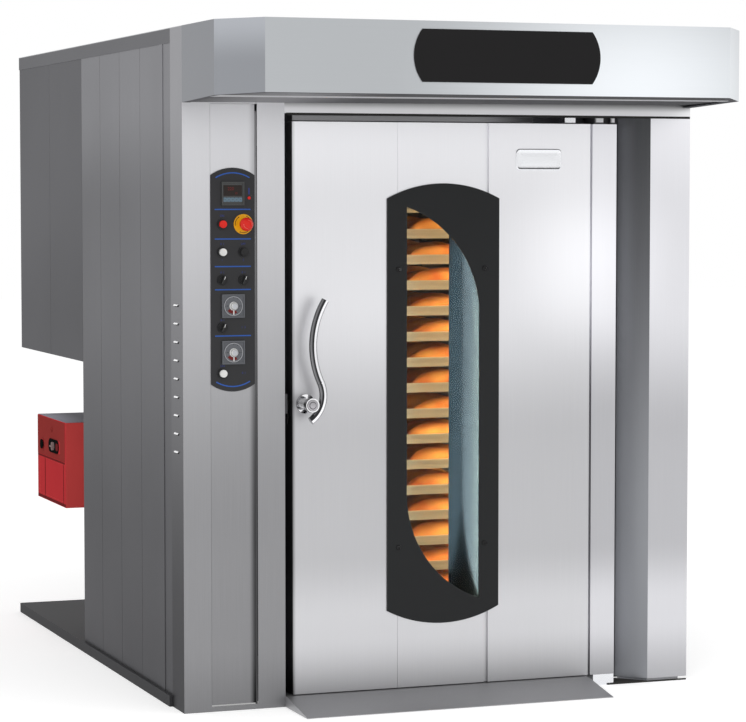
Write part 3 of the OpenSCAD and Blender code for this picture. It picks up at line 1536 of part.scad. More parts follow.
module panel_fittings() {
  color("#1d1d1d") centred() {
    for (p = [[left_x, stop_row_z], [left_x, button_row_z], [right_x, button_row_z],
      [left_x, selector_row_z], [right_x, selector_row_z], [left_x, selector_c_z], [left_x, last_row_z]])
      bezel(p[0], p[1]);
    // instruments, with a dial boss on the two timers
    difference() {
      gauge(controller_z);
      plate_y(-panel_t - 4 - eps, 2 + eps) translate([gauge_x, controller_z + 8]) square([48, 24], center = true);
    }
    for (i = [0 : 3])
      plate_y(-panel_t - 5.5, 1.5) translate([gauge_x - 19.5 + i * 13, controller_z - 18]) square([10, 8], center = true);
    for (z = [timer_a_z, timer_b_z])
      difference() {
        union() {
          gauge(z);
          rod_y(gauge_x, z, 29, -panel_t - 6, -panel_t - 3);
        }
        rod_y(gauge_x, z, stem_r + fit, -panel_t - 8, 22);
      }
    // pilot lamp
    rod_y(right_x + 18, lamp_z, 4.5, -panel_t - 3, -panel_t);
    // emergency stop: disc, collar and barrel
    difference() {
      union() {
        rod_y(right_x, stop_row_z, estop_r, -panel_t - 1.5, -panel_t);
        rod_y(right_x, stop_row_z, 14, -panel_t - 12, -panel_t);
        rod_y(right_x, stop_row_z, barrel_r - 0.2, -panel_t, barrel_len + 10);
      }
      rod_y(right_x, stop_row_z, 8 + fit, -panel_t - 12 - eps, barrel_len);
    }
  }
}

estop_y = -panel_t - 12 - estop_press - 1.5;   // underside of the mushroom head

module estop_stem() {
  color("silver") centred() rod_y(right_x, stop_row_z, 8, estop_y - 12, barrel_len - estop_press - 2);
}

module estop_head() {
  color("red") centred() difference() {
    translate([right_x, estop_y, stop_row_z]) rotate([90, 0, 0]) rotate_extrude() polygon([
      [0, 0], [13, 0], [mushroom_r, 8], [mushroom_r, 17], [mushroom_r - 4, 23], [mushroom_r - 11, 26], [0, 27]
    ]);
    rod_y(right_x, stop_row_z, 8 + fit, estop_y - 12, estop_y + eps);
  }
}

module push_cap(x, z) {
  y1 = -panel_t - 1.5 - press - slack;
  difference() {
    rod_y(x, z, cap_r, y1 - 8, y1);
    // dished face
    translate([x, y1 - 8 - 38.5, z]) sphere(r = 40);
  }
  rod_y(x, z, stem_r, y1 - 1, 22 - press - 1);
}

module start_button() { color("red") centred() push_cap(left_x, stop_row_z); }

module light_button() { color("white") centred() push_cap(left_x, button_row_z); }

module stop_button() { color("#181818") centred() push_cap(right_x, button_row_z); }

module steam_button() { color("white") centred() push_cap(left_x, last_row_z); }

module selector(x, z) {
  y1 = -panel_t - 1.5 - slack;
  color("#141414") centred() {
    rod_y(x, z, cap_r, y1 - 6, y1);
    translate([x, 0, z]) rotate([0, 20, 0]) block([-3.5, y1 - 19, -12], [3.5, y1 - 5, 12]);
    rod_y(x, z, stem_r, y1 - 1, 20);
  }
}

module selector_a() { selector(left_x, selector_row_z); }

module selector_b() { selector(right_x, selector_row_z); }

module selector_c() { selector(left_x, selector_c_z); }

module timer_knob(z) {
  y1 = -panel_t - 6 - slack;
  color("white") centred() {
    translate([gauge_x, y1, z]) rotate([90, 0, 0]) rotate_extrude() polygon([
      [0, 0], [13, 0], [13, 3], [11, 4], [10, 13], [8.5, 15], [0, 15]
    ]);
    block([gauge_x - 1.5, y1 - 3, z - 26], [gauge_x + 1.5, y1 - 0.5, z - 10]);
    rod_y(gauge_x, z, stem_r, y1 - 1, 20);
  }
}

module timer_knob_a() { timer_knob(timer_a_z); }

module timer_knob_b() { timer_knob(timer_b_z); }

base_plate();
side_panels();
back_panels();
roof_panels();
control_column();
control_cover();
control_plate();
right_pilaster();
lintel();
hood_shell();
hood_sign();
hood_filter();
door_frame();
ramp();
door_pivots();
chamber_liner();
air_ducts();
insulation();
exchanger();
flue_pipe();
fan_scroll();
fan_motor();
circulation_fan();
steam_generator();
burner_body();
burner_cover();
burner_fan();
burner_damper();
burner_reset();
rack_drive();
switchgear();
panel_fittings();
rack_hanger();
rack_frame();
rack_runners();
trays();
caster_fork_a();
caster_fork_b();
caster_wheel_a();
caster_wheel_b();
caster_wheel_c();
caster_wheel_d();
door_leaf();
hinge_stile();
window_plate();
window_panes();
window_tunnel();
door_gasket();
door_handle();
estop_stem();
estop_head();
start_button();
light_button();
stop_button();
steam_button();
selector_a();
selector_b();
selector_c();
timer_knob_a();
timer_knob_b();
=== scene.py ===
# %% [markdown]
# # A rotating rack oven, dressed for the camera
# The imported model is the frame: its solids already have the right size and place.
# This notebook gives them light, finishes and the small trim that a photograph shows.

# %% Load the frame
import math
import random
from collections import namedtuple

import bmesh
import bpy
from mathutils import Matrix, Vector


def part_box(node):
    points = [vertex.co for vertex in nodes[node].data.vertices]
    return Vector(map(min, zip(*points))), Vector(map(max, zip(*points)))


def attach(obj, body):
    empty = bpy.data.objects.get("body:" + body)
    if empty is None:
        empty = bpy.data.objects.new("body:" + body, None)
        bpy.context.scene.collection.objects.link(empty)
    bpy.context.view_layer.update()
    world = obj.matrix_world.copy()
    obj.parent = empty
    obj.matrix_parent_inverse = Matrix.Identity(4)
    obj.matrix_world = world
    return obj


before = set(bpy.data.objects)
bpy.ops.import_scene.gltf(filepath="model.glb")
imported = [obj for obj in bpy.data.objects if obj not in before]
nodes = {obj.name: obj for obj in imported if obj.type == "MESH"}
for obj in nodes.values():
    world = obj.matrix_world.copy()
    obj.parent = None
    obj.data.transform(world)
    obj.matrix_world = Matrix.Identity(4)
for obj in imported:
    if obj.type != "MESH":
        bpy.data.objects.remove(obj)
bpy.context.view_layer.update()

# %% [markdown]
# A maker measures the oven from its left wall, its door plane and the floor, in
# millimetres. Places could be written in metres from Blender's origin, but then nobody
# could lay them beside a drawing. So both reference planes are read from the solids:
# `at` turns a place on the drawing into a point, and `drawn` turns a point back.

# %% Places on the drawing
MM = 0.001
Place = namedtuple("Place", "x y z")
left_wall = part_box("hood_shell")[0].x
door_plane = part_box("control_cover")[0].y


def at(x, y, z):
    """A point from the left wall, the door plane and the floor, in millimetres."""
    return Vector((left_wall + x * MM, door_plane + y * MM, z * MM))


def drawn(point):
    """The place of a point on the drawing."""
    return Place((point.x - left_wall) / MM, (point.y - door_plane) / MM, point.z / MM)


print("left wall", round(left_wall, 3), "door plane", round(door_plane, 3))

# %% [markdown]
# The photographer stood some nine metres away, to the left of the door and at chest
# height. A short lens from nearby would show the same front, but its upright edges
# would lean. A long lens from far away keeps them upright.

# %% Camera
CAMERA_PLACE = (-3.123, -8.632, 1.565)
CAMERA_TILT, CAMERA_TURN = 86.43, -20.31
LENS, SENSOR = 132.1, 36
camera = bpy.data.objects.new("camera", bpy.data.cameras.new("camera"))
bpy.context.scene.collection.objects.link(camera)
camera.location = CAMERA_PLACE
camera.rotation_euler = (math.radians(CAMERA_TILT), 0, math.radians(CAMERA_TURN))
camera.data.lens = LENS
camera.data.sensor_width = SENSOR
bpy.context.scene.camera = camera
bpy.context.scene.view_settings.view_transform = "Standard"
print("camera", [round(c, 2) for c in camera.location])

# %% [markdown]
# ## Building blocks for materials
# A node tree is easier to read when one call makes a node, sets its values and
# wires it. `node` does that: a plain value is set, and a socket is linked. The helpers
# after it name what the finishes ask for most: a sum, a noise and a place.


# %% Node helpers
def node(tree, kind, inputs=None, **settings):
    """A new node with its settings, its values and its links."""
    made = tree.nodes.new(kind)
    for key, value in settings.items():
        setattr(made, key, value)
    for key, value in (inputs or {}).items():
        if isinstance(value, bpy.types.NodeSocket):
            tree.links.new(value, made.inputs[key])
        else:
            made.inputs[key].default_value = value
    return made


def work_out(tree, operation, *values):
    """The result of one sum."""
    return node(tree, "ShaderNodeMath", dict(enumerate(values)), operation=operation).outputs[0]


def vectors(tree, operation, *values):
    """The results of one sum with vectors: a vector at 0, or a number at "Value"."""
    return node(tree, "ShaderNodeVectorMath", dict(enumerate(values)), operation=operation).outputs


def noise(tree, place, scale, detail):
    """Soft random patches between 0 and 1."""
    made = node(tree, "ShaderNodeTexNoise", {"Vector": place, "Scale": scale, "Detail": detail})
    return made.outputs["Fac"]


def on_piece(tree):
    """The place on the piece itself, so that a finish moves with it."""
    return node(tree, "ShaderNodeTexCoord").outputs["Object"]


# %% [markdown]
# An effect that many materials need could be copied into each of them, but then every
# repair would have to be made everywhere. A shader group is built once and placed in a
# material with that material's own values.

# %% Group helpers
FLOAT, VECTOR = "NodeSocketFloat", "NodeSocketVector"
SURFACE = {"Shade": FLOAT, "Roughness": FLOAT, "Normal": VECTOR}


def group(name, inputs, outputs):
    """An empty shader group with named sockets: (tree, its inputs, its output node)."""
    tree = bpy.data.node_groups.new(name, "ShaderNodeTree")
    for label, (kind, value) in inputs.items():
        socket = tree.interface.new_socket(label, in_out="INPUT", socket_type=kind)
        socket.default_value = value
    for label, kind in outputs.items():
        tree.interface.new_socket(label, in_out="OUTPUT", socket_type=kind)
    enter = tree.nodes.new("NodeGroupInput")
    leave = tree.nodes.new("NodeGroupOutput")
    return tree, enter.outputs, leave


def give(tree, result, **sockets):
    """Leads the results of a group to its outputs."""
    for label, socket in sockets.items():
        tree.links.new(socket, result.inputs[label])
    print("group", tree.name, "gives", ", ".join(sockets))


def use(tree, name, **values):
    """Places a group in a material with its own values, and gives its outputs."""
    placed = tree.nodes.new("ShaderNodeGroup")
    placed.node_tree = bpy.data.node_groups[name]
    for key, value in values.items():
        placed.inputs[key].default_value = value
    return placed.outputs


# %% [markdown]
# Nearly every sheet of the oven is brushed. It has fine scratches that all run one way,
# and a tall sheet mirrors the studio in soft bands. A mirror of a real studio would need
# that studio, so the group paints its bands into the colour instead, as painted
# reflection and shade: darker from the height High down to Low, darkest at the foot,
# lighter at the knee and under the hood. A wide soft painted highlight lies round Spot,
# and painted shade darkens a folded edge at Seam within Fade.

# %% Group: brushed, its inputs
tree, given, result = group(
    "brushed",
    {
        "Grain": (VECTOR, (500.0, 500.0, 5.0)),
        "Depth": (FLOAT, 0.1),
        "Roughness": (FLOAT, 0.35),
        "Spread": (FLOAT, 0.1),
        "Bump": (FLOAT, 0.1),
        "High": (FLOAT, 1.2),
        "Low": (FLOAT, 0.7),
        "Dip": (FLOAT, 0.0),
        "Knee": (FLOAT, 0.0),
        "Foot": (FLOAT, 0.0),
        "Head": (FLOAT, 0.0),
        "Spot": (VECTOR, (0.0, 0.0, 0.0)),
        "Reach": (VECTOR, (0.5, 100.0, 0.5)),
        "Glow": (FLOAT, 0.0),
        "Seam": (FLOAT, 9.0),
        "Fade": (FLOAT, 0.02),
        "Shadow": (FLOAT, 0.0),
    },
    SURFACE,
)
print("inputs of", tree.name, len(given) - 1)

# %% Group: brushed, the studio's painted bands
FOOT, KNEE, HEAD = (0.2, 0.0), (0.46, 0.26), (1.5, 1.85)
place = on_piece(tree)
split = node(tree, "ShaderNodeSeparateXYZ", {"Vector": place}).outputs
height = split["Z"]
from_spot = vectors(tree, "SUBTRACT", place, given["Spot"])[0]
in_reaches = vectors(tree, "DIVIDE", from_spot, given["Reach"])[0]
apart = vectors(tree, "LENGTH", in_reaches)["Value"]
off_seam = work_out(tree, "ABSOLUTE", work_out(tree, "SUBTRACT", split["X"], given["Seam"]))


def rising(value, start, end, amount):
    """Zero where the value is at start, and the amount at end, with a soft slope."""
    slope = node(tree, "ShaderNodeMapRange", {"Value": value, "From Min": start, "From Max": end},
                 interpolation_type="SMOOTHSTEP")
    return work_out(tree, "MULTIPLY", slope.outputs[0], amount)


# Painted shade: Foot, Dip and the Shadow at Seam. Painted light: Knee, Head and the Glow round Spot.
darker = (rising(height, *FOOT, given["Foot"]),
          rising(height, given["High"], given["Low"], given["Dip"]),
          rising(off_seam, given["Fade"], 0.0, given["Shadow"]))
lighter = (rising(height, *KNEE, given["Knee"]),
           rising(height, *HEAD, given["Head"]),
           rising(apart, 1.0, 0.0, given["Glow"]))
bands = 0.0
for socket in darker:
    bands = work_out(tree, "ADD", bands, socket)
for socket in lighter:
    bands = work_out(tree, "SUBTRACT", bands, socket)
print("bands of", tree.name, "from", len(darker) + len(lighter), "slopes")

# %% [markdown]
# The scratches could be a picture, but a picture repeats and blurs near the eye. A noise
# that is stretched along the grain has no end: many lines per metre across it, few along
# it. A second, wide noise is the handling that no large sheet escapes.

# %% Group: brushed, its scratches
stretched = vectors(tree, "MULTIPLY", place, given["Grain"])[0]
lines = noise(tree, stretched, 1.0, 3.0)
handling = noise(tree, place, 1.7, 2.0)
centred = work_out(tree, "SUBTRACT", work_out(tree, "ADD", lines, handling), 1.0)
lined = work_out(tree, "MULTIPLY_ADD", centred, given["Depth"], 1.0)
bump = node(tree, "ShaderNodeBump", {"Strength": given["Bump"], "Distance": 0.0004, "Height": lines})
give(tree, result,
     Shade=work_out(tree, "SUBTRACT", lined, bands),
     Roughness=work_out(tree, "MULTIPLY_ADD", centred, given["Spread"], given["Roughness"]),
     Normal=bump.outputs[0])

# %% [markdown]
# Paint, enamel and moulded plastic aren't smooth either: they have a fine orange peel,
# and hands and cleaning leave soft clouds in the gloss. One group serves all of them,
# because they differ only in how fine and how deep this is.

# %% Group: moulded
tree, given, result = group(
    "moulded",
    {
        "Peel": (FLOAT, 900.0),
        "Height": (FLOAT, 0.1),
        "Roughness": (FLOAT, 0.4),
        "Spread": (FLOAT, 0.15),
        "Depth": (FLOAT, 0.1),
    },
    SURFACE,
)
place = on_piece(tree)
peel = noise(tree, place, given["Peel"], 2.0)
clouds = work_out(tree, "SUBTRACT", noise(tree, place, 7.0, 4.0), 0.5)
bump = node(tree, "ShaderNodeBump", {"Strength": given["Height"], "Distance": 0.0003, "Height": peel})
give(tree, result,
     Shade=work_out(tree, "MULTIPLY_ADD", clouds, given["Depth"], 1.0),
     Roughness=work_out(tree, "MULTIPLY_ADD", clouds, given["Spread"], given["Roughness"]),
     Normal=bump.outputs[0])

# %% [markdown]
# Handled edges are rubbed bright. They could be painted one by one, but the Bevel node
# finds them all: it rounds the normal near an edge, and where the rounded normal leaves
# the true one, there is an edge.

# %% Group: worn edge
tree, given, result = group("worn edge", {"Radius": (FLOAT, 0.002)}, {"Mask": FLOAT})
rounded = node(tree, "ShaderNodeBevel", {"Radius": given["Radius"]}, samples=4).outputs[0]
true = node(tree, "ShaderNodeNewGeometry").outputs["Normal"]
likeness = vectors(tree, "DOT_PRODUCT", rounded, true)["Value"]
mask = node(tree, "ShaderNodeMapRange", {"Value": likeness, "From Min": 0.995, "From Max": 0.9})
give(tree, result, Mask=mask.outputs[0])

# %% [markdown]
# ## Finishes
# Colours are written as the eye reads them, from 0 to 255, because that is how they are
# read off a photograph. `tone` turns them into light. The other helpers give a new
# material its shader, tint a colour by an effect, and wire an effect to the shader.


# %% Colour and shader helpers
def tone(red, green, blue):
    """A colour from 0 to 255 as light."""
    def light(value):
        value /= 255
        return value / 12.92 if value <= 0.04045 else ((value + 0.055) / 1.055) ** 2.4
    return (light(red), light(green), light(blue), 1.0)


def finish(name, **values):
    """A new material with one Principled shader: (material, tree, shader)."""
    made = bpy.data.materials.new(name)
    made.use_nodes = True
    shader = made.node_tree.nodes["Principled BSDF"]
    for key, value in values.items():
        shader.inputs[key.replace("_", " ")].default_value = value
    return made, made.node_tree, shader


def tinted(tree, colour, shade):
    """A colour that an effect's shade darkens or lightens."""
    mix = node(tree, "ShaderNodeMix", {0: 1.0, 6: colour, 7: shade}, data_type="RGBA", blend_type="MULTIPLY")
    return mix.outputs[2]


def ramp(tree, value, stops):
    """Colours along a value, from (position, colour) stops."""
    made = node(tree, "ShaderNodeValToRGB", {"Fac": value})
    elements = made.color_ramp.elements
    for position, _ in stops[1:-1]:
        elements.new(position)
    for element, (position, colour) in zip(elements, stops):
        element.position = position
        element.color = colour
    return made.outputs[0]


def dress(tree, shader, colour, effect):
    """Wires a colour, and the roughness and normal of an effect, to a shader."""
    tree.links.new(colour, shader.inputs["Base Color"])
    for label in ("Roughness", "Normal"):
        tree.links.new(effect[label], shader.inputs[label])


# %% [markdown]
# Nearly all of the oven is stainless sheet. A separate material by hand for each panel
# would soon drift apart, so one function makes them all. A sheet says which way its
# grain runs, what colour it mirrors, and which painted bands of light and shade it
# carries.

# %% Steel helper
UPRIGHT = (420.0, 420.0, 4.0)
ACROSS = (4.0, 420.0, 420.0)
ALONG = (420.0, 4.0, 420.0)


def steel(name, colour, grain, metal=1.0, edge=1.0, level=0.5, **values):
    """Brushed sheet; edge tints what it mirrors along it, level is for sheet in deep shade."""
    made, tree, shader = finish(name, Metallic=metal, Specular_Tint=(edge, edge, edge, 1.0),
                                Specular_IOR_Level=level)
    effect = use(tree, "brushed", Grain=grain, **values)
    dress(tree, shader, tinted(tree, colour, effect["Shade"]), effect)
    return made


# %% [markdown]
# The front is the finest and lightest sheet. The door, its stile and the right pilaster
# share one painted highlight, a soft glow round Spot, so what they share is written once.
# A Seam at the door's and the stile's left edges is painted shade.

# %% Sheets of the front
front_shine = {"Depth": 0.06, "Roughness": 0.4,
               "Spot": at(1320, 0, 1360), "Reach": (0.36, 100, 0.36), "Glow": 0.27}
front_sheet = steel("front sheet", tone(223, 223, 226), UPRIGHT, **front_shine,
                    High=1.25, Low=0.8, Dip=0.345, Knee=0.17, Foot=0.35, Head=0.3,
                    Seam=at(340, 0, 0).x, Fade=0.014, Shadow=0.5)
stile_sheet = steel("stile sheet", tone(223, 223, 227), UPRIGHT, **front_shine,
                    High=1.2, Low=0.85, Dip=0.39, Knee=0.28, Foot=0.45, Head=0.2,
                    Seam=at(1325, 0, 0).x, Fade=0.006, Shadow=0.4)
pilaster_sheet = steel("pilaster sheet", tone(222, 222, 226), UPRIGHT, **front_shine,
                       High=1.2, Low=0.8, Dip=0.35, Knee=0.25, Foot=0.3, Head=0.2)
# Column and cover carry painted bands of shade; the cover's Seam is painted shade along its right edge.
column_sheet = steel("column sheet", tone(206, 206, 209), UPRIGHT, Depth=0.07, Roughness=0.4,
                     High=1.76, Low=0.54, Dip=0.56, Foot=0.08, Head=0.14)
cover_sheet = steel("cover sheet", tone(206, 206, 209), UPRIGHT, Depth=0.07, Roughness=0.4,
                    High=1.76, Low=0.54, Dip=0.585, Foot=0.08, Head=0.16,
                    Seam=at(225, 0, 0).x, Fade=0.022, Shadow=0.34)
# The lintel turns dark in painted shade where it rises under the hood.
lintel_sheet = steel("lintel sheet", tone(236, 236, 238), ACROSS, Depth=0.05, Roughness=0.4,
                     High=1.806, Low=1.838, Dip=0.8)
print("front sheets made")

# %% [markdown]
# The hood's grain runs across it. Its front carries a painted highlight towards the
# right, and its sides and corners are darker copies of the sheet in painted shade. What
# lies under the hood sees no lamp and mirrors no white room, so it is drawn matt, as a
# sheet with no metal in it, and in painted shade: a dark underside and soffit with a
# painted highlight on the soffit's left, a light fold that is a painted highlight, and a
# head strip that darkens towards its right end.

# %% Sheets of the hood
matt = {"metal": 0.0, "level": 0.0, "Roughness": 0.5}
hood_sheet = steel("hood sheet", tone(182, 185, 188), ACROSS, Depth=0.05, Roughness=0.36,
                   Spot=at(1275, 0, 1865), Reach=(0.8, 100, 0.48), Glow=0.92)
hood_side = steel("hood side sheet", tone(140, 142, 147), ACROSS, edge=0.8, Depth=0.05, Roughness=0.36)
chamfer_sheet = steel("hood corner sheet", tone(178, 181, 187), ACROSS, Depth=0.05, Roughness=0.36,
                      High=2.05, Low=1.92, Dip=0.33)
lip_sheet = steel("hood underside", tone(112, 112, 115), ALONG, Depth=0.1, **matt)
soffit_dark = steel("soffit", tone(108, 108, 110), ALONG, Depth=0.1, **matt,
                    Spot=at(230, -100, 1830), Reach=(0.3, 100, 100), Glow=1.3)
soffit_light = steel("soffit fold", tone(214, 214, 217), ALONG, Depth=0.1, **matt)
head_strip = steel("head strip", tone(160, 160, 162), ACROSS, Depth=0.1, **matt,
                   Seam=at(1130, 0, 0).x, Fade=0.2, Shadow=0.85)
stub_sheet = steel("stub sheet", tone(246, 246, 248), ACROSS, Depth=0.05, **matt)
print("hood sheets made")

# %% [markdown]
# The side walls are the same steel, drawn in a darker grey as painted shade, and the rear
# box, the trim band and the column's side are darker copies too. The side walls are a
# duller sheet. Seen along its surface a real sheet turns white like any mirror, but the
# photo's side stays grey, so the edge tint of these sheets is dark. The roof, the ramp,
# the base and the burner's top are written here too.

# %% Sheets of the sides and the roof
side_shade = {"edge": 0.4, "Depth": 0.12, "Roughness": 0.42}
# side_shade holds the dark edge tint that keeps the side walls grey: painted shade.
side_sheet = steel("side sheet", tone(138, 138, 141), UPRIGHT, **side_shade,
                   High=1.25, Low=0.45, Dip=0.35, Head=0.38)
box_sheet = steel("rear box sheet", tone(127, 127, 130), UPRIGHT, **side_shade,
                  High=1.6, Low=1.1, Dip=0.15)
trim_sheet = steel("trim band sheet", tone(134, 134, 137), ALONG, edge=0.4, Depth=0.08, Roughness=0.45)
column_side = steel("column side sheet", tone(164, 164, 167), UPRIGHT, edge=0.4, Depth=0.08, Roughness=0.42,
                    High=1.5, Low=0.3, Dip=0.66, Head=0.25)
# The louvres' crowns are near white, a painted highlight.
louvre_sheet = steel("louvre crown", tone(250, 250, 251), UPRIGHT, Depth=0.02, Roughness=0.4)
# The jamb darkens towards the hood in painted shade, and its negative Shadow paints light along its left
# edge.
jamb_sheet = steel("jamb sheet", tone(150, 152, 157), UPRIGHT, metal=0.4, Depth=0.1, Roughness=0.34,
                   High=0.4, Low=1.7, Dip=0.73, Seam=at(1459, 0, 0).x, Fade=0.05, Shadow=-0.4)
shadow_sheet = steel("sheet in shadow", tone(84, 84, 86), UPRIGHT, metal=0.5, Depth=0.1, Roughness=0.6)
# The seal strip darkens towards the bottom: painted shade.
seal_grey = steel("seal strip", tone(150, 150, 152), UPRIGHT, metal=0.0, level=0.1, Depth=0.1, Roughness=0.6,
                  High=1.76, Low=0.6, Dip=0.72)
roof_sheet = steel("roof sheet", tone(176, 177, 180), ALONG, Depth=0.1, Roughness=0.45)
ramp_sheet = steel("ramp sheet", tone(182, 182, 184), ALONG, Depth=0.14, Roughness=0.5)
pan_paint = steel("pan paint", tone(64, 64, 66), ACROSS, metal=0.0, level=0.05, Depth=0.2, Roughness=0.55)
# The burner's top is dark in painted shade under the rear box, with a painted highlight round Spot along its
# left edge.
burner_top = steel("burner top sheet", tone(112, 111, 120), ALONG, edge=0.3, Depth=0.06, Roughness=0.4,
                   Spot=at(20, 1740, 751), Reach=(0.13, 0.6, 100), Glow=2.2)
print("side and roof sheets made")

# %% [markdown]
# The chamber, the rack and the fittings are plainer. They mirror little of the studio,
# so each of them is only a colour, a grain and a gloss.

# %% Metals inside and on the fittings
bright_steel = steel("bright steel", tone(232, 233, 236), ACROSS, Depth=0.05, Roughness=0.25)
inner_sheet = steel("inner sheet", tone(170, 170, 170), ALONG, Depth=0.2, Roughness=0.4)
rack_steel = steel("rack steel", tone(165, 164, 160), UPRIGHT, Depth=0.15, Roughness=0.4)
reflector_sheet = steel("reflector sheet", tone(150, 164, 171), UPRIGHT, Depth=0.05, Roughness=0.12)
baffle_sheet = steel("baffle sheet", tone(175, 176, 178), ALONG, Depth=0.15, Roughness=0.4)
zinc = steel("zinc", tone(180, 182, 186), ACROSS, Depth=0.2, Roughness=0.4)
cast_alloy = steel("cast alloy", tone(195, 196, 198), ACROSS, Depth=0.15, Roughness=0.5)
tray_metal = steel("tray metal", tone(224, 210, 180), ACROSS, metal=0.75, Depth=0.3, Roughness=0.35)
hub_sheet = steel("hub face", tone(168, 166, 170), ACROSS, Depth=0.1, Roughness=0.2)
print("inner metals made")

# %% [markdown]
# Two flat painted parts are dark: the control plate and the frame round the window. The
# red burner casing is enamelled. Knobs, caps, bezels and prints are plastic and ink. All
# of them take the same effect, and a painted sheet is also rubbed at its edges.


# %% Coat helper
def coat(name, colour, roughness=0.4, peel=900.0, height=0.1, depth=0.1, worn=None, gleam=0.25):
    """Paint, enamel or plastic; worn is the colour of its rubbed edges."""
    made, tree, shader = finish(name, Specular_IOR_Level=gleam)
    effect = use(tree, "moulded", Peel=peel, Height=height, Roughness=roughness, Depth=depth)
    surface = tinted(tree, colour, effect["Shade"])
    if worn:
        edge = use(tree, "worn edge", Radius=0.0015)["Mask"]
        rubbed = node(tree, "ShaderNodeMix", {0: edge, 6: surface, 7: worn}, data_type="RGBA")
        surface = rubbed.outputs[2]
    dress(tree, shader, surface, effect)
    return made


# %% Paints and enamels
RUBBED_RED = tone(226, 92, 92)
charcoal = coat("charcoal paint", tone(47, 47, 49), roughness=0.42, depth=0.15, worn=tone(88, 88, 92))
window_paint = coat("window frame paint", tone(37, 38, 39), roughness=0.38, depth=0.12,
                    worn=tone(80, 81, 84), gleam=0.15)
sign_black = coat("sign enamel", tone(24, 23, 24), roughness=0.22, peel=300.0, height=0.04, gleam=0.15)
burner_red = coat("burner enamel", tone(200, 60, 64), depth=0.12, worn=RUBBED_RED, gleam=0.0)
# The burner's front is a lighter copy of its red enamel: painted light.
burner_front_lit = coat("lit burner front enamel", tone(222, 80, 78), depth=0.12, worn=RUBBED_RED, gleam=0.0)
# The upper field's darker red is painted shade.
burner_field_shade = coat("burner field enamel in shade", tone(155, 60, 57), roughness=0.5, depth=0.12, gleam=0.0)
# Dark red for the seams, which also paints the shade along the foot of the upper field.
burner_seam_and_shade = coat("burner seam and shade enamel", tone(118, 46, 46), roughness=0.5, gleam=0.0)
burner_black = coat("burner control black", tone(24, 26, 25), roughness=0.5, gleam=0.0)
burner_print = coat("burner control grey", tone(150, 130, 128), roughness=0.5, gleam=0.0)
burner_grey = coat("burner grey", tone(178, 180, 182), roughness=0.45)
motor_paint = coat("motor enamel", tone(70, 110, 140), height=0.2)
print("paints and enamels made")

# %% Plastics, prints and wool
black_plastic = coat("black plastic", tone(34, 34, 35))
gloss_black = coat("gloss black", tone(26, 26, 27), roughness=0.2)
frame_grey = coat("instrument frame", tone(74, 75, 75), roughness=0.3)
timer_grey = coat("timer frame", tone(98, 100, 105), roughness=0.3)
timer_rim_highlight = coat("timer rim highlight", tone(176, 177, 181), roughness=0.3)
dial_grey = coat("dial", tone(106, 108, 113), roughness=0.35)
key_grey = coat("key", tone(104, 126, 140))
display_glass = coat("display", tone(38, 28, 24), roughness=0.12)
white_plastic = coat("white plastic", tone(232, 232, 230), roughness=0.3, depth=0.05)
red_plastic = coat("red plastic", tone(228, 40, 30), roughness=0.25, depth=0.08)
stop_yellow = coat("emergency yellow", tone(236, 170, 24), roughness=0.32, depth=0.08)
print_blue = coat("blue print", tone(46, 92, 176))
mark_blue = coat("dim blue print", tone(50, 62, 128))
print_white = coat("white print", tone(225, 225, 225), roughness=0.45)
sector_red = coat("dark red print", tone(110, 28, 26))
mark_red = coat("light red print", tone(240, 96, 84), roughness=0.35)
wheel_resin = coat("wheel resin", tone(46, 45, 44), roughness=0.6, peel=500.0, height=0.4, depth=0.3)
gasket_braid = coat("gasket braid", tone(52, 51, 50), roughness=0.8, peel=1400.0, height=0.8, depth=0.3)
wool = coat("mineral wool", tone(196, 184, 140), roughness=0.95, peel=160.0, height=1.0, depth=0.3)
print("plastics and prints made")

# %% [markdown]
# Chrome mirrors a studio as streaks that run along a bent bar: light on the side of the
# window wall, dark on the side of the room. In a plain white room it would be plain
# white, so a ramp over the surface's own direction draws the streaks.

# %% Chrome
STREAKS = ((0.0, 96), (0.07, 134), (0.2, 112), (0.31, 44), (0.41, 34), (0.46, 92), (0.5, 240), (0.63, 248),
           (0.75, 212), (0.87, 186), (0.93, 78), (1.0, 60))
chrome, tree, shader = finish("chrome", Metallic=1.0)
effect = use(tree, "moulded", Peel=60.0, Height=0.01, Roughness=0.09, Spread=0.05, Depth=0.03)
facing = node(tree, "ShaderNodeSeparateXYZ", {"Vector": node(tree, "ShaderNodeTexCoord").outputs["Normal"]})
sideways = node(tree, "ShaderNodeMapRange", {"Value": facing.outputs["X"], "From Min": -1.0, "From Max": 1.0})
streaks = ramp(tree, sideways.outputs[0], [(place, tone(grey, grey, grey + 2)) for place, grey in STREAKS])
dress(tree, shader, tinted(tree, streaks, effect["Shade"]), effect)
print("chrome with", len(STREAKS), "streaks")

# %% [markdown]
# The window's panes are a clear Principled shader: they let the loaves be seen, and keep
# only a weak mirror. The heated inner pieces turn straw and blue in use. That stain has
# no edges, so a slow noise picks its colour.

# %% Glass and heated steel
glass, tree, shader = finish("pane glass", Metallic=0.0, Transmission_Weight=1.0, IOR=1.12)
effect = use(tree, "moulded", Peel=5.0, Height=0.0, Roughness=0.02, Spread=0.03, Depth=0.02)
dress(tree, shader, tinted(tree, tone(240, 245, 246), effect["Shade"]), effect)

heated, tree, shader = finish("heated steel", Metallic=1.0)
effect = use(tree, "brushed", Grain=ALONG, Depth=0.2, Roughness=0.4, Spread=0.15)
stain = noise(tree, on_piece(tree), 3.0, 3.0)
tints = ramp(tree, stain, [(0.3, tone(112, 104, 108)), (0.7, tone(176, 150, 118))])
dress(tree, shader, tinted(tree, tints, effect["Shade"]), effect)
print("glass and heated steel made")

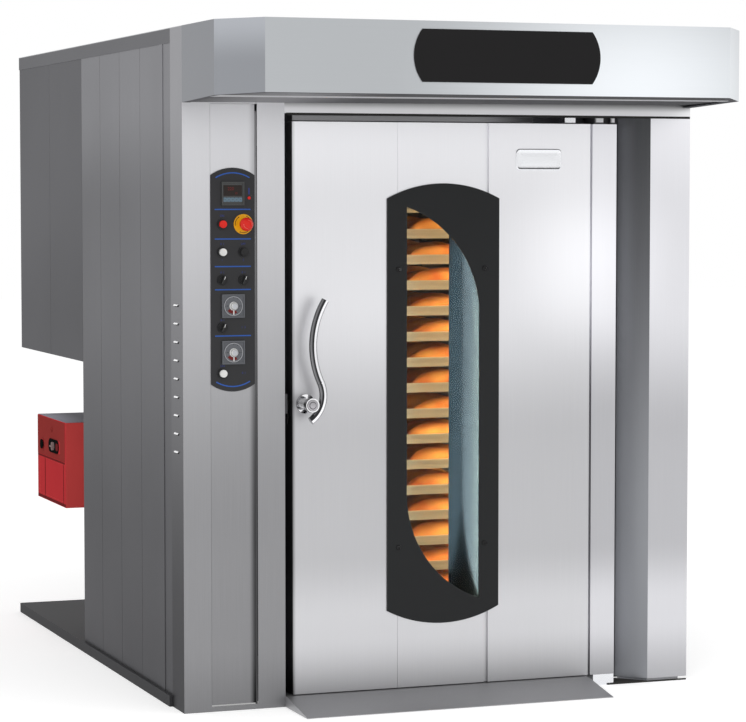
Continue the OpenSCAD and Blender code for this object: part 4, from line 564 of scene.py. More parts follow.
# %% [markdown]
# A crust is orange where it browned and darker on the crown, with small blisters. One
# noise can't be both wide and fine, so two of different size give the patches and the
# blisters.

# %% Crust
crust, tree, shader = finish("crust", Specular_IOR_Level=0.3)
place = on_piece(tree)
patches = noise(tree, place, 14.0, 5.0)
blisters = noise(tree, place, 160.0, 3.0)
browned = ramp(tree, patches, [(0.32, tone(188, 96, 40)), (0.68, tone(228, 158, 78))])
blistered = node(tree, "ShaderNodeBump", {"Strength": 0.35, "Distance": 0.002, "Height": blisters})
dress(tree, shader, browned, {"Roughness": work_out(tree, "MULTIPLY_ADD", blisters, 0.3, 0.38),
                              "Normal": blistered.outputs[0]})
print("crust made")

# %% [markdown]
# ## Dressing the solids
# Each solid gets one finish as a whole. `faces` then picks single faces by a rule, so
# that one solid can have two finishes, such as a sheet that is light in front and darker
# at the side in painted shade. The solid could be cut in two instead, but the solids are
# the drawing, so they stay whole.


# %% Dressing helpers
def wear(name, material):
    """Gives a whole solid one finish."""
    mesh = nodes[name].data
    mesh.materials.clear()
    mesh.materials.append(material)
    for face in mesh.polygons:
        face.material_index = 0


def faces(name, material, rule):
    """Gives a finish to the faces of a solid for which rule(centre on the drawing, normal) holds."""
    mesh = nodes[name].data
    mesh.materials.append(material)
    slot = len(mesh.materials) - 1
    chosen = [face for face in mesh.polygons if rule(drawn(face.center), face.normal)]
    for face in chosen:
        face.material_index = slot
    return len(chosen)


# %% What each solid wears
WEARS = {
    side_sheet: ["side_panels", "back_panels"],
    roof_sheet: ["roof_panels"],
    pan_paint: ["base_plate"],
    column_sheet: ["control_column"],
    cover_sheet: ["control_cover"],
    pilaster_sheet: ["right_pilaster"],
    front_sheet: ["door_leaf"],
    stile_sheet: ["hinge_stile"],
    hood_sheet: ["hood_shell"],
    lintel_sheet: ["lintel"],
    baffle_sheet: ["hood_filter"],
    sign_black: ["hood_sign"],
    charcoal: ["control_plate"],
    window_paint: ["window_plate"],
    ramp_sheet: ["ramp"],
    bright_steel: ["door_pivots", "flue_pipe", "estop_stem"],
    inner_sheet: ["chamber_liner", "air_ducts", "door_frame", "fan_scroll"],
    heated: ["exchanger", "circulation_fan", "steam_generator"],
    wool: ["insulation"],
    motor_paint: ["fan_motor", "rack_drive"],
    burner_grey: ["burner_body"],
    burner_red: ["burner_cover"],
    burner_black: ["burner_reset"],
    burner_print: ["burner_damper"],
    cast_alloy: ["burner_fan"],
    rack_steel: ["rack_hanger", "rack_frame", "rack_runners"],
    tray_metal: ["trays"],
    zinc: ["caster_fork_a", "caster_fork_b"],
    wheel_resin: ["caster_wheel_a", "caster_wheel_b", "caster_wheel_c", "caster_wheel_d"],
    glass: ["window_panes"],
    reflector_sheet: ["window_tunnel"],
    gasket_braid: ["door_gasket"],
    chrome: ["door_handle"],
    black_plastic: ["panel_fittings", "stop_button", "selector_a", "selector_b", "selector_c", "switchgear"],
    red_plastic: ["start_button", "estop_head"],
    white_plastic: ["light_button", "steam_button", "timer_knob_a", "timer_knob_b"],
}
for material, names in WEARS.items():
    for name in names:
        wear(name, material)
print("dressed", sum(len(names) for names in WEARS.values()), "of", len(nodes), "solids")

# %% [markdown]
# The control column is one folded sheet, light in front and in painted shade on its
# louvred side, whose louvres' crowns carry a painted highlight. The jamb beside the door
# darkens towards the hood in painted shade. The hood has corners, sides and an underside,
# and each of them is drawn in its own painted shade; the head of the frame takes the
# underside's. Faces beside the door, in the door frame, under the cover and at the upper
# pivot are drawn in the dark sheet in shadow. The burner's front is a lighter red,
# painted light, and the pilaster's right end takes the side walls' painted shade. In each
# rule, c is the centre of a face on the drawing and n is its normal.

# %% Faces with a finish of their own
HUB_X, HUB_Z = 382.5, 921
ROSETTE = 29.5
COLUMN_LEFT, COLUMN_RIGHT, SILL = 20, 300, 60
OPENING_TOP, LINTEL_TOP, HOOD_LIP = 1700, 1800, 1850
PIVOT_LEFT, PIVOT_RIGHT = 1300, 1420
BOX_FRONT, BAND_LOW, ROOF_TOP = 1330, 2000, 2056
BEZEL_SIDE = 19.2


def distance(place, x, z):
    """How far a place is from (x, z), seen from the front."""
    return math.hypot(place.x - x, place.z - z)


FACES = (
    ("column side", "control_column", column_side, lambda c, n: n.x < -0.5 and c.x < COLUMN_LEFT),
    ("beside the door", "control_column", shadow_sheet, lambda c, n: n.x > 0.5 and c.x > COLUMN_RIGHT),
    ("jamb", "right_pilaster", jamb_sheet, lambda c, n: n.x < -0.3),
    ("hood corners", "hood_shell", chamfer_sheet, lambda c, n: -0.95 < n.x < -0.5),
    ("hood sides", "hood_shell", hood_side, lambda c, n: abs(n.x) > 0.95),
    ("hood underside", "hood_shell", lip_sheet, lambda c, n: n.z < -0.5 and c.z < HOOD_LIP),
    ("door frame", "door_frame", shadow_sheet, lambda c, n: n.y < -0.5 and c.z < OPENING_TOP),
    ("head of the frame", "door_frame", lip_sheet,
     lambda c, n: n.y < -0.5 and OPENING_TOP < c.z < LINTEL_TOP),
    ("rear box", "side_panels", box_sheet, lambda c, n: abs(n.x) > 0.5 and c.y > BOX_FRONT),
    ("trim band", "side_panels", trim_sheet, lambda c, n: abs(n.x) > 0.5 and c.z > BAND_LOW),
    ("under the cover", "control_column", shadow_sheet, lambda c, n: n.z > 0.5 and c.z < SILL),
    ("upper pivot", "door_pivots", shadow_sheet,
     lambda c, n: c.z > OPENING_TOP and PIVOT_LEFT < c.x < PIVOT_RIGHT),
    ("louvres", "control_column", louvre_sheet, lambda c, n: c.x < -0.5 and n.z > -0.3),
    ("rosette", "door_leaf", chrome, lambda c, n: c.y < -0.5 and distance(c, HUB_X, HUB_Z) < ROSETTE),
    ("oval bezel", "burner_cover", burner_black, lambda c, n: c.x < BEZEL_SIDE),
    ("burner front", "burner_cover", burner_front_lit, lambda c, n: n.y < -0.5 and c.x > BEZEL_SIDE),
    ("right end", "right_pilaster", side_sheet, lambda c, n: n.x > 0.5),
    ("collars", "roof_panels", bright_steel, lambda c, n: c.z > ROOF_TOP),
)
for label, name, material, rule in FACES:
    print(label, faces(name, material, rule))

# %% [markdown]
# On the control plate stand a controller, a pilot lamp, buttons, the emergency stop,
# three selectors and two timers. Their frames and bezels are one solid, so its faces are
# picked by their distance from each control's middle, which later cells use as well.

# %% Places on the control plate
PANEL_X, PANEL_Z = 155, 1298
LEFT_X, RIGHT_X = 122, 188
CONTROLLER_Z, DISPLAY_Z, KEYS_Z = 1555, 1563, 1537
TIMERS = {"a": 1220, "b": 1081}
SELECTORS = {"a": (LEFT_X, 1298), "b": (RIGHT_X, 1298), "c": (LEFT_X, 1156)}
STOP_X, STOP_Z = RIGHT_X, 1464
LAMP_X, LAMP_Z = 206, 1542
print(len(TIMERS), "timers and", len(SELECTORS), "selectors round", (PANEL_X, PANEL_Z))

# %% Instruments of the control plate
FRAME_HALF, WELL_HALF, DISPLAY_HALF, KEYS_HALF = 36, 31, 25, 26
STOP_REACH, LAMP_REACH, DIAL_REACH = 30.5, 5, 30
DISPLAY_HIGH, KEYS_HIGH = 12, 5
FRAME_Y, WELL_Y, KEYS_Y, DIAL_Y, PLATE_Y = -2.5, -6.6, -4.1, -5, -2.9
DISPLAY_FRONT, DISPLAY_BACK = -6, -1.4


def inside(place, z, half):
    """Whether a place lies in the square round (PANEL_X, z), seen from the front."""
    return max(abs(place.x - PANEL_X), abs(place.z - z)) < half


def instrument(label, material, rule):
    """Gives a finish to faces of the panel's fittings."""
    print(label, faces("panel_fittings", material, rule))


instrument("controller", frame_grey, lambda c, n: inside(c, CONTROLLER_Z, FRAME_HALF) and c.y < FRAME_Y)
for name, z in TIMERS.items():
    instrument("timer " + name, timer_grey, lambda c, n: inside(c, z, FRAME_HALF) and c.y < FRAME_Y)
instrument("controller's well", gloss_black, lambda c, n: inside(c, CONTROLLER_Z, WELL_HALF) and c.y > WELL_Y)
instrument("display", display_glass,
           lambda c, n: inside(c, DISPLAY_Z, DISPLAY_HALF) and abs(c.z - DISPLAY_Z) < DISPLAY_HIGH
           and DISPLAY_FRONT < c.y < DISPLAY_BACK and n.y < -0.5)
instrument("keys", key_grey,
           lambda c, n: inside(c, KEYS_Z, KEYS_HALF) and abs(c.z - KEYS_Z) < KEYS_HIGH and c.y < KEYS_Y)
for name, z in TIMERS.items():
    instrument("dial " + name, dial_grey, lambda c, n: distance(c, PANEL_X, z) < DIAL_REACH and c.y < DIAL_Y)
instrument("stop disc", stop_yellow,
           lambda c, n: distance(c, STOP_X, STOP_Z) < STOP_REACH and c.y < PLATE_Y)
instrument("pilot lamp", red_plastic,
           lambda c, n: distance(c, LAMP_X, LAMP_Z) < LAMP_REACH and c.y < PLATE_Y)

# %% [markdown]
# ## Small trim
# The small pieces are drawn as outlines and raised, or turned on a lathe. A modifier
# could thicken an outline too, but raising it in the mesh itself lets many prints or
# screws be one piece. Both helpers work on a mesh under construction, in millimetres.


# %% Raised outlines
def raised(shape, places, step, coat=0, bevel=0.0):
    """Raises a flat outline by a step. New faces inherit the coat of the first one."""
    base = shape.faces.new([shape.verts.new(place) for place in places])
    base.material_index = coat
    grown = bmesh.ops.extrude_face_region(shape, geom=[base])["geom"]
    corners = [part for part in grown if isinstance(part, bmesh.types.BMVert)]
    bmesh.ops.translate(shape, verts=corners, vec=Vector(step))
    front = [part for part in grown if isinstance(part, bmesh.types.BMFace)][0]
    if bevel:
        bmesh.ops.bevel(shape, geom=list(front.edges), offset=bevel * MM, segments=2, affect="EDGES")


def prism(shape, outline, y_back, y_front, coat=0, bevel=0.0):
    """Raises an outline of (x, z) points towards the viewer, with its front edge rounded."""
    raised(shape, [at(x, y_back, z) for x, z in outline], (0, (y_front - y_back) * MM, 0), coat, bevel)


def side_prism(shape, outline, x_back, x_front, coat=0, bevel=0.0):
    """Raises an outline of (y, z) points to the left."""
    raised(shape, [at(x_back, y, z) for y, z in outline], ((x_front - x_back) * MM, 0, 0), coat, bevel)


def slab(shape, plan, z_low, z_high):
    """Raises a plan of (x, y) points upwards."""
    raised(shape, [at(x, y, z_low) for x, y in plan], (0, 0, (z_high - z_low) * MM))


# %% Turned shapes
def turned(shape, centre, profile, axis=(0, -1, 0), sides=32):
    """Turns a profile of (radius, height) points round an axis that starts at centre."""
    axis = Vector(axis).normalized()
    side = axis.orthogonal().normalized()
    other = axis.cross(side)
    start = at(*centre)
    rings = []
    for radius, height in profile:
        middle = start + axis * height * MM
        if radius == 0:
            rings.append([shape.verts.new(middle)])
            continue
        rings.append([
            shape.verts.new(middle + (side * math.cos(a) + other * math.sin(a)) * radius * MM)
            for a in (2 * math.pi * i / sides for i in range(sides))
        ])
    for low, high in zip(rings, rings[1:]):
        for i in range(sides):
            j = (i + 1) % sides
            loop = [low[i % len(low)], low[j % len(low)], high[j % len(high)], high[i % len(high)]]
            unique = list(dict.fromkeys(loop))
            if len(unique) > 2:
                shape.faces.new(unique)


# %% [markdown]
# A finished mesh becomes a named piece. It rides on the body that carries it, so that
# it follows the door or a knob, and it names the finish that it belongs to.


# %% Piece helper
def piece(name, shape, coats, body, smooth=35):
    """Turns a mesh under construction into a named piece that rides on a body."""
    bmesh.ops.recalc_face_normals(shape, faces=shape.faces[:])
    mesh = bpy.data.meshes.new(name)
    shape.to_mesh(mesh)
    shape.free()
    made = bpy.data.objects.new(name, mesh)
    bpy.context.scene.collection.objects.link(made)
    for item in coats:
        mesh.materials.append(item)
    mesh.shade_smooth()
    mesh.set_sharp_from_angle(angle=math.radians(smooth))
    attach(made, body)
    print(name, len(mesh.polygons), "faces on", body)
    return made


# %% Outlines
def bar(x0, z0, x1, z1):
    """A rectangle between two corners."""
    return [(x0, z0), (x1, z0), (x1, z1), (x0, z1)]


def soft_bar(x, z, width, height, radius, steps=6):
    """A rectangle round (x, z) with round corners."""
    points = []
    for sx, sz, turn in ((1, 1, 0), (-1, 1, 90), (-1, -1, 180), (1, -1, 270)):
        for i in range(steps + 1):
            a = math.radians(turn + 90 * i / steps)
            points.append((x + sx * (width / 2 - radius) + radius * math.cos(a),
                           z + sz * (height / 2 - radius) + radius * math.sin(a)))
    return points


def clockwise(x, z, degrees, points):
    """Points of (sideways, outward) from (x, z), turned clockwise from upright."""
    c, s = math.cos(math.radians(degrees)), math.sin(math.radians(degrees))
    return [(x + u * c + v * s, z - u * s + v * c) for u, v in points]


def spoke(x, z, degrees, radius):
    """The point at a radius from (x, z), clockwise from upright."""
    return clockwise(x, z, degrees, [(0, radius)])[0]


def strip(shape, x, z, inner, outer, start, sweep, steps, y_back, y_front, coat=0):
    """A flat strip bent round (x, z) from the angle start, in short straight lengths."""
    for i in range(steps):
        a, b = start + sweep * i / steps, start + sweep * (i + 1) / steps
        outline = [spoke(x, z, a, inner), spoke(x, z, a, outer), spoke(x, z, b, outer), spoke(x, z, b, inner)]
        prism(shape, outline, y_back, y_front, coat)


# %% [markdown]
# ## Prints on the controls
# The control plate is printed with blue rules that part its rows, and a blue arc that
# follows each rounded end. A picture could carry them, but a picture of the plate would
# need its own mapping. Here each print is raised by a quarter of a millimetre, and its
# back lies a tenth of a millimetre in the surface, so that no gap shows.

# %% Blue rules on the control plate
PLATE_BACK, PLATE_PRINT = -2.9, -3.25
RULES = (1508, 1420, 1338, 1269, 1131)
RULE_HALF, RULE_THICK = 56, 1.7
print_shape = bmesh.new()
for z in RULES:
    prism(print_shape, bar(PANEL_X - RULE_HALF, z - RULE_THICK, PANEL_X + RULE_HALF, z + RULE_THICK),
          PLATE_BACK, PLATE_PRINT)
half, rise, straight = 68.5, 22, 312
bow = (half * half + rise * rise) / (2 * rise)
for end, start in ((1, -31), (-1, 149)):
    strip(print_shape, PANEL_X, PANEL_Z + end * (straight + rise - bow), bow - 17, bow - 13.5, start, 62, 16,
          PLATE_BACK, PLATE_PRINT)
piece("panel_rules", print_shape, [print_blue], "oven")

# %% [markdown]
# Beside the controls stand small printed marks: ON and OFF, a line and a ring, numbers,
# and a thermometer by the pilot lamp. Drawing each letter point by point would be slow,
# so they are text curves turned into mesh. The timers' numbers are made the same way.

# %% Number helper
FONT_SIZE = 1.35


def number(shape, text, x, z, height, y_back, y_front):
    """Adds a printed number, centred on (x, z). A font's size is more than its letters' height."""
    curve = bpy.data.curves.new("number", "FONT")
    curve.body = text
    curve.size = height * MM * FONT_SIZE
    curve.align_x = "CENTER"
    curve.align_y = "CENTER"
    curve.extrude = abs(y_front - y_back) * MM / 2
    curve.resolution_u = 3
    holder = bpy.data.objects.new("number", curve)
    bpy.context.scene.collection.objects.link(holder)
    bpy.context.view_layer.update()
    flat = bpy.data.meshes.new_from_object(holder)
    middle = at(x, (y_back + y_front) / 2, z)
    for vert in flat.vertices:
        vert.co = Vector((vert.co.x, -vert.co.z, vert.co.y)) + middle
    shape.from_mesh(flat)
    bpy.data.objects.remove(holder)
    bpy.data.curves.remove(curve)
    bpy.data.meshes.remove(flat)


# %% Marks beside the controls
LEFT_MARKS = ((1489, "ON"), (1405, "0  I"), (1320, "0  I"), (1178, "0  I"), (1041, "ON"), (1357, "1"))
RIGHT_MARKS = ((1405, "OFF"), (1320, "0  I"), (1156, "1  2"), (1019, "0  I"), (1357, "2"))
MARK_HEIGHT = 6.5
marks = bmesh.new()
for x, column in ((LEFT_X, LEFT_MARKS), (RIGHT_X, RIGHT_MARKS)):
    for z, text in column:
        number(marks, text, x, z, MARK_HEIGHT, PLATE_BACK, PLATE_PRINT)
prism(marks, soft_bar(LAMP_X, LAMP_Z + 20, 4, 20, 1.9), PLATE_BACK, PLATE_PRINT)
piece("panel_marks", marks, [mark_blue], "oven")

# %% [markdown]
# Each timer has a scale with ticks and numbers, a rim round its dial, and a red sector
# where the time runs out. Scale and sector are prints like those on the plate. The rim
# catches light on its rounded edge, so it is turned on a lathe. The rim and the thin bars
# on the frame's edges are light grey, a painted highlight.

# %% Timer scales
DIAL_BACK, DIAL_PRINT, SECTOR_PRINT = -8.9, -9.2, -9.25
TICK = bar(-0.5, 23.5, 0.5, 26.5)
scales = bmesh.new()
for z in TIMERS.values():
    for minute in range(0, 60, 5):
        prism(scales, clockwise(PANEL_X, z, 6 * minute, TICK), DIAL_BACK, DIAL_PRINT)
    for minute in (15, 30, 45):
        number(scales, str(minute), *spoke(PANEL_X, z, 6 * minute, 18.5), 4.5, DIAL_BACK, DIAL_PRINT)
piece("timer_scales", scales, [gloss_black], "oven")

# %% Timer rims and frames
DIAL_FACE = -9
FRAME_BACK, FRAME_FACE = -6.9, -7.5
RIM = [(29.0, -0.3), (29.0, 1.2), (27.4, 1.6), (27.0, 0.2), (27.0, -0.3)]
FRAME_BARS = ((0, 33.4, 67, 1.8), (0, -33.4, 67, 1.8), (-33.4, 0, 1.8, 67), (33.4, 0, 1.8, 67))
rings = bmesh.new()
for z in TIMERS.values():
    turned(rings, (PANEL_X, DIAL_FACE, z), RIM, sides=64)
    strip(rings, PANEL_X, z, 14, 23, 150, 84, 8, DIAL_BACK, SECTOR_PRINT, coat=1)
    for x_off, z_off, width, height in FRAME_BARS:
        outline = soft_bar(PANEL_X + x_off, z + z_off, width, height, 0.8, steps=3)
        prism(rings, outline, FRAME_BACK, FRAME_FACE, bevel=0.2)
piece("timer_rings", rings, [timer_rim_highlight, sector_red], "oven")

# %% [markdown]
# A timer's knob is white, with a light metal cap on its end and fine ribs for the
# fingers. The ribs turn with the knob, so cap and ribs ride on its body.

# %% Timer caps
RIBS, RIB_CIRCLE = 24, 10.9
CAP_Y, RIB_Y = -24.3, -13.6
CAP_PROFILE = [(8.2, -0.4), (8.2, 0.6), (7.4, 1.2), (0, 1.4)]
RIB_PROFILE = [(0, 0), (0.7, 0.4), (0.6, 7.5), (0, 8)]
for name, z in TIMERS.items():
    cap = bmesh.new()
    turned(cap, (PANEL_X, CAP_Y, z), CAP_PROFILE, sides=40)
    for i in range(RIBS):
        x, height = spoke(PANEL_X, z, 90 - 360 * i / RIBS, RIB_CIRCLE)
        turned(cap, (x, RIB_Y, height), RIB_PROFILE, sides=6)
    piece("timer_cap_" + name, cap, [zinc], "timer_" + name)

# %% [markdown]
# The controller shows dim red numbers behind dark glass. Unlit segments would be seen
# close by, but from the camera only the numbers are, so they are text on the glass. Five
# keys lie under it, each with a small mark.

# %% Controller glass and numbers
GLASS_BACK, GLASS_FACE, GLASS_PRINT = -7.5, -7.6, -7.75
glass_shape = bmesh.new()
prism(glass_shape, soft_bar(PANEL_X - 1, 1564, 58, 32, 2), FRAME_BACK, GLASS_FACE, bevel=0.3)
number(glass_shape, "220", PANEL_X - 7, 1569, 10, GLASS_BACK, GLASS_PRINT)
number(glass_shape, "35", PANEL_X + 10, 1556, 6, GLASS_BACK, GLASS_PRINT)
shown = piece("controller_display", glass_shape, [display_glass, sector_red], "oven")
for face in shown.data.polygons:
    face.material_index = 1 if drawn(face.center).y < (GLASS_FACE + GLASS_PRINT) / 2 else 0

# %% Controller keys
KEY_FACE, KEY_BACK, KEY_PRINT = -8.7, -8.6, -8.85
keys = bmesh.new()
for x in range(PANEL_X - 25, PANEL_X + 24, 12):
    prism(keys, soft_bar(x, KEYS_Z, 10.6, 13, 1.6), FRAME_BACK, KEY_FACE, bevel=0.5)
    prism(keys, bar(x - 2, 1536.2, x + 2, 1537.6), KEY_BACK, KEY_PRINT, coat=1)
# The thin light bar on the frame's left edge is a painted highlight.
prism(keys, soft_bar(PANEL_X - 33.2, CONTROLLER_Z, 1.6, 66, 0.7, steps=3), FRAME_BACK, -7.4, coat=2)
piece("controller_keys", keys, [key_grey, frame_grey, timer_rim_highlight], "oven")

# %% [markdown]
# The stop button's yellow disc carries three dark arrows, and its red head two light
# ones, which show the way it turns to let go. An arrow is a bent strip and a triangle.


# %% Arrows of the emergency stop
def bent_arrow(shape, radius, width, start, sweep, y_back, y_front):
    """An arrow bent round the stop button's middle, its head at the end of the sweep."""
    strip(shape, STOP_X, STOP_Z, radius - width / 2, radius + width / 2, start, sweep, 6, y_back, y_front)
    ahead = math.degrees(2.2 * width / radius)
    inner = spoke(STOP_X, STOP_Z, start + sweep, radius - width * 1.3)
    outer = spoke(STOP_X, STOP_Z, start + sweep, radius + width * 1.3)
    tip = spoke(STOP_X, STOP_Z, start + sweep + ahead, radius)
    prism(shape, [inner, tip, outer], y_back, y_front)


disc = bmesh.new()
for start in (20, 140, 260):
    bent_arrow(disc, radius=25.5, width=1.6, start=start, sweep=62, y_back=-4.4, y_front=-4.75)
piece("stop_disc_marks", disc, [gloss_black], "oven")

head_face = drawn(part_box("estop_head")[0]).y
top = bmesh.new()
for start in (0, 180):
    bent_arrow(top, radius=12.5, width=1.8, start=start, sweep=80,
               y_back=head_face + 2.6, y_front=head_face + 0.2)
piece("stop_head_arrows", top, [mark_red], "stop_head")

# %% [markdown]
# A selector has a white pointer and a grey edge along its grip. At rest the photo's
# pointers lean to the right, so both strips are drawn at that angle.

# %% Pointer lines
LEAN = 20
for name, (x, z) in SELECTORS.items():
    grip = drawn(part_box("selector_" + name)[0]).y
    line = bmesh.new()
    prism(line, clockwise(x, z, LEAN, bar(-0.9, 1.5, 0.9, 11)), grip + 0.2, grip - 0.3)
    # The grey strip along the grip is a painted highlight.
    prism(line, clockwise(x, z, LEAN, bar(-3.3, -11.5, -1.9, 11.5)), grip + 0.2, grip - 0.2, coat=1)
    piece("selector_line_" + name, line, [print_white, frame_grey], "switch_" + name)

# %% [markdown]
# ## Trim of the front
# The door carries a badge pressed from bright sheet. It stays bare here: a raised rim
# with round corners, round a slightly crowned field. Its levels are rings of the same
# outline, each a little smaller, joined by faces.

# %% Badge
BADGE_X, BADGE_Z, BADGE_WIDTH, BADGE_HEIGHT = 1150.5, 1659.5, 155, 67
CORNER, LEAST_CORNER = 14, 4
LEVELS = ((0, 0.0), (0.6, 1.6), (2.2, 2.8), (4.5, 2.8), (6.4, 1.4), (8.0, 0.5), (16.0, 1.0), (24.0, 1.7))
badge = bmesh.new()
levels = []
for inset, lift in LEVELS:
    ring = soft_bar(BADGE_X, BADGE_Z, BADGE_WIDTH - 2 * inset, BADGE_HEIGHT - 2 * inset,
                    max(CORNER - inset, LEAST_CORNER), steps=8)
    levels.append([badge.verts.new(at(x, -lift, z)) for x, z in ring])
for low, high in zip(levels, levels[1:]):
    for i in range(len(low)):
        j = (i + 1) % len(low)
        badge.faces.new((low[i], low[j], high[j], high[i]))
badge.faces.new(levels[-1])
badge.faces.new(levels[0][::-1])
piece("door_badge", badge, [bright_steel], "door", smooth=60)

# %% [markdown]
# Four socket screws hold the window frame. Each has a round head with a six-sided hole.
# Cutting the hole out with a boolean would be slow and untidy. Two turned profiles do
# the same: a round one for the head, and one with six sides for the socket.

# %% Screws of the window frame
WINDOW_SCREWS = ((683, 1324), (968, 1325), (684, 471), (968, 473))


def screw(shape, centre, radius, height, axis=(0, -1, 0)):
    """A cap screw's head, with a six-sided socket of half its width."""
    socket, mouth = radius * 0.5, radius * 0.575
    head = [(radius, -0.3), (radius, height * 0.7), (radius * 0.86, height), (mouth, height)]
    hole = [(mouth, height), (socket, height * 0.9), (socket, height * 0.35), (0, height * 0.3)]
    turned(shape, centre, head, axis=axis, sides=24)
    turned(shape, centre, hole, axis=axis, sides=6)


frame_face = drawn(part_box("window_plate")[0]).y
screws = bmesh.new()
for x, z in WINDOW_SCREWS:
    screw(screws, (x, frame_face, z), radius=8, height=4)
piece("window_screws", screws, [gloss_black], "door")

# %% [markdown]
# Where sheets meet, the eye sees a strip: a seal in the gap beside the cover, a dark
# seam under the lintel, and below it the steel head strip with two stubs. They are
# narrow, so each is a plain bar, set into its gap. The seal darkens towards the bottom
# and the head strip towards its right end, both in painted shade.

# %% Strips between the sheets
strips = bmesh.new()
prism(strips, bar(225.6, 16, 231.4, 1800), y_back=8, y_front=2.5)
prism(strips, bar(324, 1790, 1671, 1797), y_back=0.6, y_front=-0.9, coat=1)
prism(strips, bar(345, 1774, 1130, 1790), y_back=6, y_front=2, coat=2, bevel=0.8)
for left, right in ((1345, 1371), (1398, 1410)):
    prism(strips, bar(left, 1776, right, 1790), y_back=6, y_front=1, coat=3, bevel=0.8)
piece("front_seams", strips, [seal_grey, gasket_braid, head_strip, stub_sheet], "oven")

# %% [markdown]
# The right pilaster and the hinge foot stand on a thin dark strip, a painted shadow in the
# gap under them. It follows the pilaster's chamfer, so it is a plan seen from above, raised
# by five millimetres.

# %% Strip of painted shadow
SHADOW_PLAN = [(1394, -1.5), (1671, -1.5), (1671, 1), (1536, 1), (1459, 79), (1394, 79)]
shadow_strip = bmesh.new()
slab(shadow_strip, SHADOW_PLAN, z_low=0.0, z_high=5.0)
piece("pilaster_shadow_strip", shadow_strip, [gasket_braid], "oven")

# %% [markdown]
# Seen from below, the hood is closed by a soffit between its lip and the lintel. It is a
# folded sheet, dark in painted shade, with a painted highlight on its left and one fold
# drawn light, a painted highlight of light from the floor. A single plate with a painted
# line would stay flat, so the folds are real strips that share their edges.

# %% Soffit's course
HOOD_DEPTH, BODY_WIDTH = 469, 1672
CORNER_START, CORNER_DEPTH, CORNER_INSET = -323, 139, 106
FOLDS = ((-1, 0), (-255, 0), (-268, 1), (-338, 1), (-350, 0), (-400, 0), (-462, 0))
print("soffit in", len(FOLDS) - 1, "strips")


def soffit_ends(y):
    """Left and right ends of the soffit at the depth y, which follow the hood's corners."""
    inset = max(0, (CORNER_START - y) / CORNER_DEPTH * CORNER_INSET)
    return 3 + inset, 1669 - inset


def soffit_height(x, y, fold):
    """The soffit rises to the lip and, by the lintel, to the right. Its fold hangs lower."""
    return 1825 + 15.5 * -y / HOOD_DEPTH - 1.5 * fold + 8 * x / BODY_WIDTH * (1 + y / HOOD_DEPTH)


# %% Soffit of the hood
soffit = bmesh.new()
for (y0, fold0), (y1, fold1) in zip(FOLDS, FOLDS[1:]):
    (left0, right0), (left1, right1) = soffit_ends(y0), soffit_ends(y1)
    corners = [(x, y, soffit_height(x, y, fold)) for x, y, fold in
               ((left0, y0, fold0), (right0, y0, fold0), (right1, y1, fold1), (left1, y1, fold1))]
    low = [soffit.verts.new(at(*corner)) for corner in corners]
    high = [soffit.verts.new(at(x, y, z + 1)) for x, y, z in corners]
    soffit.faces.new(low).material_index = 1 if fold0 and fold1 else 0
    soffit.faces.new(high[::-1])
    walls = [1, 3]
    if y0 == FOLDS[0][0]:
        walls.append(0)
    if y1 == FOLDS[-1][0]:
        walls.append(2)
    for i in walls:
        j = (i + 1) % 4
        soffit.faces.new((low[j], low[i], high[i], high[j]))
bmesh.ops.remove_doubles(soffit, verts=soffit.verts[:], dist=1e-6)
piece("hood_soffit", soffit, [soffit_dark, soffit_light], "oven")

# %% [markdown]
# The handle's hub gets a turned cap with a fine groove, so that its end reads as a round
# boss and not as a cut bar. A ring of chrome lies round the hub behind it.

# %% Cap of the handle
HUB_FACE = -73
CAP = [(17.5, -0.3), (17.5, 0.8), (16.6, 1.8), (11.5, 2.6), (10.8, 1.9), (9.9, 1.9), (9.2, 2.7),
       (4.5, 3.3), (0, 3.4)]
RING = [(21.4, -9.0), (21.9, -8.4), (21.9, -7.2), (21.4, -6.6)]
hub = bmesh.new()
turned(hub, (HUB_X, HUB_FACE, HUB_Z), CAP, sides=48)
turned(hub, (HUB_X, HUB_FACE, HUB_Z), RING, sides=48)
cap = piece("handle_hub", hub, [chrome, hub_sheet, shadow_sheet], "handle")
# The groove and the cap's outer edge take the dark sheet in shadow: painted shade.
for face in cap.data.polygons:
    reach = distance(drawn(face.center), HUB_X, HUB_Z)
    if reach > 19:
        face.material_index = 0
    else:
        face.material_index = 2 if reach > 16 or 9.5 < reach < 11 else 1

# %% [markdown]
# ## Burner and roof
# The burner's casing has an upper field of its own, seams, a folded foot, a screw and an
# oval plate behind the air control. The field's darker red is painted shade, and the
# seams' dark red also paints the shade along the field's foot. They could be colours on
# the casing's faces, but the field's edges cross those faces, so they are thin plates on
# its left side. The solid's leftmost face is the control's bezel, four millimetres before
# that side.

# %% Burner trim
BEZEL_DEPTH = 4
casing = drawn(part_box("burner_cover")[0]).x + BEZEL_DEPTH
behind = casing + 0.5
FIELD = ((1545, 611, 1612, 748), (1612, 678, 1745, 748), (1612, 611, 1745, 632), (1745, 611, 1851, 748),
         (1851, 667, 1885, 748), (1851, 611, 1885, 631), (1885, 611, 1948, 748))
SEAMS = ((1838, 458, 1842, 603), (1565, 458, 1568, 603), (1534, 453, 1948, 463))
trim = bmesh.new()
for plate in FIELD:
    side_prism(trim, bar(*plate), behind, casing - 0.8)
side_prism(trim, bar(1545, 603, 1948, 609), behind, casing - 0.5, coat=1)
for seam in SEAMS:
    side_prism(trim, bar(*seam), behind, casing - 0.4, coat=1)
side_prism(trim, soft_bar(1647, 655, 34, 26, 9), casing - 3.8, casing - 4.4, coat=1, bevel=0.2)
screw(trim, (casing - 0.5, 1730, 712), radius=9, height=4, axis=(-1, 0, 0))
piece("burner_trim", trim, [burner_field_shade, burner_seam_and_shade], "oven")

